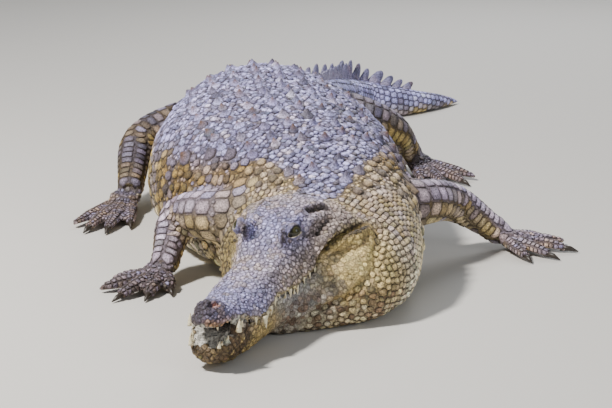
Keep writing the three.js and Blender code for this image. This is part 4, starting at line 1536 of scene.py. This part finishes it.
class CROCODILE_OT_teeth(bpy.types.Operator):
    """Sets curved ivory teeth along both jaws"""

    bl_idname = "crocodile.teeth"
    bl_label = "Teeth"

    def execute(self, context):
        rng = np.random.default_rng(5)
        ivory, tree, shader = new_material("Tooth", tuple(context.scene.crocodile_colours.tooth), 0.32)
        place = tree.nodes.new("ShaderNodeTexCoord").outputs["Object"]
        stain = add_noise(tree, place, 160.0, 4.0)
        ramp = tree.nodes.new("ShaderNodeValToRGB")
        ramp.color_ramp.elements[0].position = 0.30
        ramp.color_ramp.elements[0].color = (0.42, 0.27, 0.10, 1)
        ramp.color_ramp.elements[1].position = 0.48
        ramp.color_ramp.elements[1].color = (*context.scene.crocodile_colours.tooth, 1)
        tree.links.new(stain.outputs["Fac"], ramp.inputs["Fac"])
        tree.links.new(ramp.outputs["Color"], shader.inputs["Base Color"])
        bm = bmesh.new()
        jaws = ((UPPER_TEETH, -1.0, SKULL_HALF, lambda a: along_profile(LIP, a) + 0.002),
                (LOWER_TEETH, 1.0, JAW_HALF, lambda a: jaw_rim(a) - 0.002))
        for teeth, down, breadth, edge in jaws:
            for side in (-1, 1):
                for along, inset, length, radius in teeth:
                    across, z = along_profile(breadth, along) - inset, float(edge(along))
                    along += rng.normal() * 0.002 * (side < 0)
                    length *= 1.0 if side > 0 else rng.uniform(0.9, 1.1)
                    length *= 0.45 if side > 0 and along < 0.06 else 1.0
                    root = in_head(along, side * across, z - down * TOOTH_ROOT)
                    way = unit(np.array([0, 0, down]) + HEAD_LEFT * side * TOOTH_LEAN)
                    curve = HEAD_LEFT * side * -TOOTH_LEAN * 0.7 * length + HEAD_BACK * 0.12 * length
                    rings = []
                    for share in (0, 0.18, 0.38, 0.58, 0.76, 0.90, 0.98):
                        middle = root + way * (length + TOOTH_ROOT) * share + curve * share**2
                        width = radius * (1.15 + LONG_TOOTH_SWELL * (length > 0.015)) * (1 - share) ** 0.85
                        first, second = unit(HEAD_BACK), unit(np.cross(way, HEAD_BACK))
                        rings.append([middle + width * (first * math.cos(a) + second * 0.86 * math.sin(a))
                                      for a in turns(14)])
                    piece = grid_mesh("tooth", rings, True)
                    bm.from_mesh(piece)
                    bpy.data.meshes.remove(piece)
        mesh = bpy.data.meshes.new("teeth")
        bm.to_mesh(mesh)
        bm.free()
        smooth(mesh)
        add_object("teeth", mesh, ivory)
        return {"FINISHED"}


CLAW_ROOT = 0.020  # how far a claw's root reaches back into its toe


def root_claw(mesh, name):
    """Draws the root of a claw back into its toe, its tip staying in place."""
    points = vertex_array(mesh)
    ankle = np.array(LIMBS[name[5:-2]][0][3][:2])
    way = unit(points[:, :2].mean(0) - ankle)
    reach = points[:, :2] @ way
    share = (reach - reach.min()) / (reach.max() - reach.min())
    points[:, :2] -= way * (CLAW_ROOT * (1 - share) ** 1.5)[:, None]
    mesh.vertices.foreach_set("co", points.ravel())
    mesh.update()


class CROCODILE_OT_claws(bpy.types.Operator):
    """Draws the roots of the claws back into the toes and gives the claws dark worn horn"""

    bl_idname = "crocodile.claws"
    bl_label = "Claws"

    def execute(self, context):
        horn, tree, shader = new_material("Horn", tuple(context.scene.crocodile_colours.horn), 0.42)
        place = tree.nodes.new("ShaderNodeTexCoord").outputs["Object"]
        grain = add_noise(tree, place, 260.0, 5.0)
        bump = tree.nodes.new("ShaderNodeBump")
        bump.inputs["Strength"].default_value = 0.5
        bump.inputs["Distance"].default_value = 0.0008
        tree.links.new(grain.outputs["Fac"], bump.inputs["Height"])
        tree.links.new(bump.outputs["Normal"], shader.inputs["Normal"])
        for name in CLAWS:
            bm = bmesh.new()
            bm.from_mesh(NODES[name].data)
            bmesh.ops.remove_doubles(bm, verts=bm.verts, dist=1e-5)
            bmesh.ops.recalc_face_normals(bm, faces=bm.faces)
            mesh = bpy.data.meshes.new(name + "_horn")
            bm.to_mesh(mesh)
            bm.free()
            root_claw(mesh, name)
            smooth(mesh)
            claw = add_object(name + "_horn", mesh, horn)
            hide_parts(name)
        return {"FINISHED"}


CREST_PLATES = 19
CREST_FROM, CREST_MEET, CREST_TO = 0.515, 0.74, 0.88  # shares of the body's line
CREST_LOW, CREST_TALL = 0.014, 0.064


def crest_plate(share, across, height, length):
    """One fin of the tail's crest: a thin blade with a leaning, rounded edge and a broad foot."""
    row, way = LINE[int(share * LINE_STEPS)], LINE_WAY[int(share * LINE_STEPS)]
    back, left = np.array([*way, 0.0]), np.array([way[1], -way[0], 0.0])
    widest = WIDEST * row[3]
    foot = np.array([row[0], row[1], 0]) + left * row[2] * across
    foot[2] = widest + (row[3] - widest) * math.sqrt(1 - across * across)
    outward = unit(UP + left * across * 0.30)
    rings = []
    for rise in (-0.22, 0.0, 0.22, 0.45, 0.68, 0.86, 0.96, 1.0):
        lift = max(rise, 0)
        front = -0.56 + 0.86 * lift**1.3
        rear = 0.56 + 0.20 * math.sin(lift * 2.2) - 0.10 * lift**6
        if rise == 1.0:
            front, rear = rear - 0.16, rear - 0.02
        thick = 0.0105 * (1 - lift) ** 0.8 + 0.0028
        middle = foot + outward * height * rise
        ring_points = []
        for turn in turns(16):
            reach = (front + rear) / 2 + (rear - front) / 2 * math.cos(turn)
            side = thick * math.sin(turn) * (1 - 0.45 * abs(math.cos(turn)) ** 3)
            ring_points.append(middle + back * length * reach + left * side)
        rings.append(ring_points)
    return grid_mesh("fin", rings, True)


class CROCODILE_OT_crest(bpy.types.Operator):
    """Raises the fins of the tail's crest, in two rows that join"""

    bl_idname = "crocodile.crest"
    bl_label = "Crest"

    def execute(self, context):
        rng = np.random.default_rng(11)
        bm = bmesh.new()
        pitch = (CREST_TO - CREST_FROM) / CREST_PLATES
        for i in range(CREST_PLATES):
            share = CREST_FROM + i * pitch
            here, there = (LINE[int(t * LINE_STEPS), :2] for t in (share, share + pitch))
            apart = max((CREST_MEET - share) / (CREST_MEET - CREST_FROM), 0)
            spread = 0.62 * apart**0.7
            if share < CREST_MEET:
                height = CREST_LOW + (CREST_TALL - CREST_LOW) * (1 - apart) ** 1.4
            else:
                behind = (share - CREST_MEET) / (CREST_TO - CREST_MEET)
                height = CREST_TALL + (CREST_LOW - CREST_TALL) * behind**1.2
            for across in ((-spread, spread) if spread > 0.08 else (0.0,)):
                step = np.linalg.norm(there - here) * rng.uniform(0.92, 1.22)
                piece = crest_plate(share, across, height * rng.uniform(0.84, 1.05), step)
                bm.from_mesh(piece)
                bpy.data.meshes.remove(piece)
        mesh = bpy.data.meshes.new("crest")
        bm.to_mesh(mesh)
        bm.free()
        points = vertex_array(mesh)
        _, _, height = body_place(points)
        c = context.scene.crocodile_colours
        stripe = smooth_step(-0.2, 0.5, wobble(points * np.array([1, 1, 0.3]), 0.05, 31))
        tone = mix(np.array(c.back) * 0.75, np.array(c.slate) * 1.1, stripe * 0.7)
        tone = mix(tone, np.array(c.rust) * 1.2, 0.35 * smooth_step(0.3, 0.8, wobble(points, 0.06, 32)))
        foot = smooth_step(1.16, 0.98, height + 0.05 * wobble(points, 0.03, 33))
        tone = mix(tone, np.array(c.back) * 0.95 + np.array(c.olive) * 0.35, 0.75 * foot)
        paint(mesh, tone)
        smooth(mesh)
        add_object("crest", mesh, scale_material())
        return {"FINISHED"}


# ---- Stage ---------------------------------------------------------------------------------

CAMERA_HEIGHT = 1.45
CAMERA_PLACE = (-0.035, -5.980)
CAMERA_PITCH = 13.68
FOCAL = 1920 / 612 * 36


def add_area_light(name, place, target, size, power, colour):
    data = bpy.data.lights.new(name, "AREA")
    data.shape = "DISK"
    data.size = size
    data.energy = power
    data.color = colour
    light = bpy.data.objects.new(name, data)
    bpy.context.scene.collection.objects.link(light)
    light.location = place
    light.rotation_euler = (Vector(target) - Vector(place)).to_track_quat("-Z", "Y").to_euler()


class CROCODILE_OT_stage(bpy.types.Operator):
    """Lays the pale floor and sets the lights and the camera"""

    bl_idname = "crocodile.stage"
    bl_label = "Stage"

    def execute(self, context):
        bm = bmesh.new()
        bmesh.ops.create_grid(bm, x_segments=1, y_segments=1, size=30.0)
        mesh = bpy.data.meshes.new("floor")
        bm.to_mesh(mesh)
        bm.free()
        floor = bpy.data.objects.new("floor", mesh)
        context.scene.collection.objects.link(floor)
        material, _, _ = new_material("Floor", (0.62, 0.60, 0.57), 0.85)
        mesh.materials.append(material)
        world = bpy.data.worlds.new("Studio")
        context.scene.world = world
        world.use_nodes = True
        background = world.node_tree.nodes["Background"]
        background.inputs["Color"].default_value = (0.90, 0.95, 1.0, 1.0)
        background.inputs["Strength"].default_value = 0.27
        add_area_light("Key", (-3.0, -2.4, 4.8), (0, -0.4, 0.2), 0.7, 610, (1.0, 0.97, 0.92))
        add_area_light("Fill", (4.0, -4.0, 2.6), (0, -0.6, 0.2), 3.0, 60, (0.92, 0.96, 1.0))
        add_area_light("Rim", (1.5, 4.5, 3.4), (0, 0.2, 0.3), 2.4, 130, (0.95, 0.97, 1.0))
        camera_data = bpy.data.cameras.new("Camera")
        camera_data.sensor_width = 36
        camera_data.lens = FOCAL
        camera = bpy.data.objects.new("Camera", camera_data)
        context.scene.collection.objects.link(camera)
        camera.location = (*CAMERA_PLACE, CAMERA_HEIGHT)
        camera.rotation_euler = (math.radians(90 - CAMERA_PITCH), 0, 0)
        context.scene.camera = camera
        return {"FINISHED"}


class CROCODILE_PT_panel(bpy.types.Panel):
    """Buttons that build the crocodile, and its sizes and colours"""

    bl_label = "Crocodile"
    bl_idname = "CROCODILE_PT_panel"
    bl_space_type = "VIEW_3D"
    bl_region_type = "UI"
    bl_category = "Crocodile"

    def draw(self, context):
        for step in STEPS:
            self.layout.operator(step.bl_idname)
        for group in (context.scene.crocodile_sizes, context.scene.crocodile_colours):
            for name in group.__annotations__:
                self.layout.prop(group, name)


STEPS = (CROCODILE_OT_stage, CROCODILE_OT_skin, CROCODILE_OT_eyes, CROCODILE_OT_teeth, CROCODILE_OT_claws,
         CROCODILE_OT_crest, CROCODILE_OT_scales)
CLASSES = (CrocodileSizes, CrocodileColours, *STEPS, CROCODILE_PT_panel)


def register():
    for cls in CLASSES:
        bpy.utils.register_class(cls)
    bpy.types.Scene.crocodile_sizes = PointerProperty(type=CrocodileSizes)
    bpy.types.Scene.crocodile_colours = PointerProperty(type=CrocodileColours)


def unregister():
    del bpy.types.Scene.crocodile_sizes
    del bpy.types.Scene.crocodile_colours
    for cls in reversed(CLASSES):
        bpy.utils.unregister_class(cls)


def main():
    register()
    for step in STEPS:
        group, name = step.bl_idname.split(".")
        getattr(getattr(bpy.ops, group), name)()


if __name__ == "__main__":
    main()
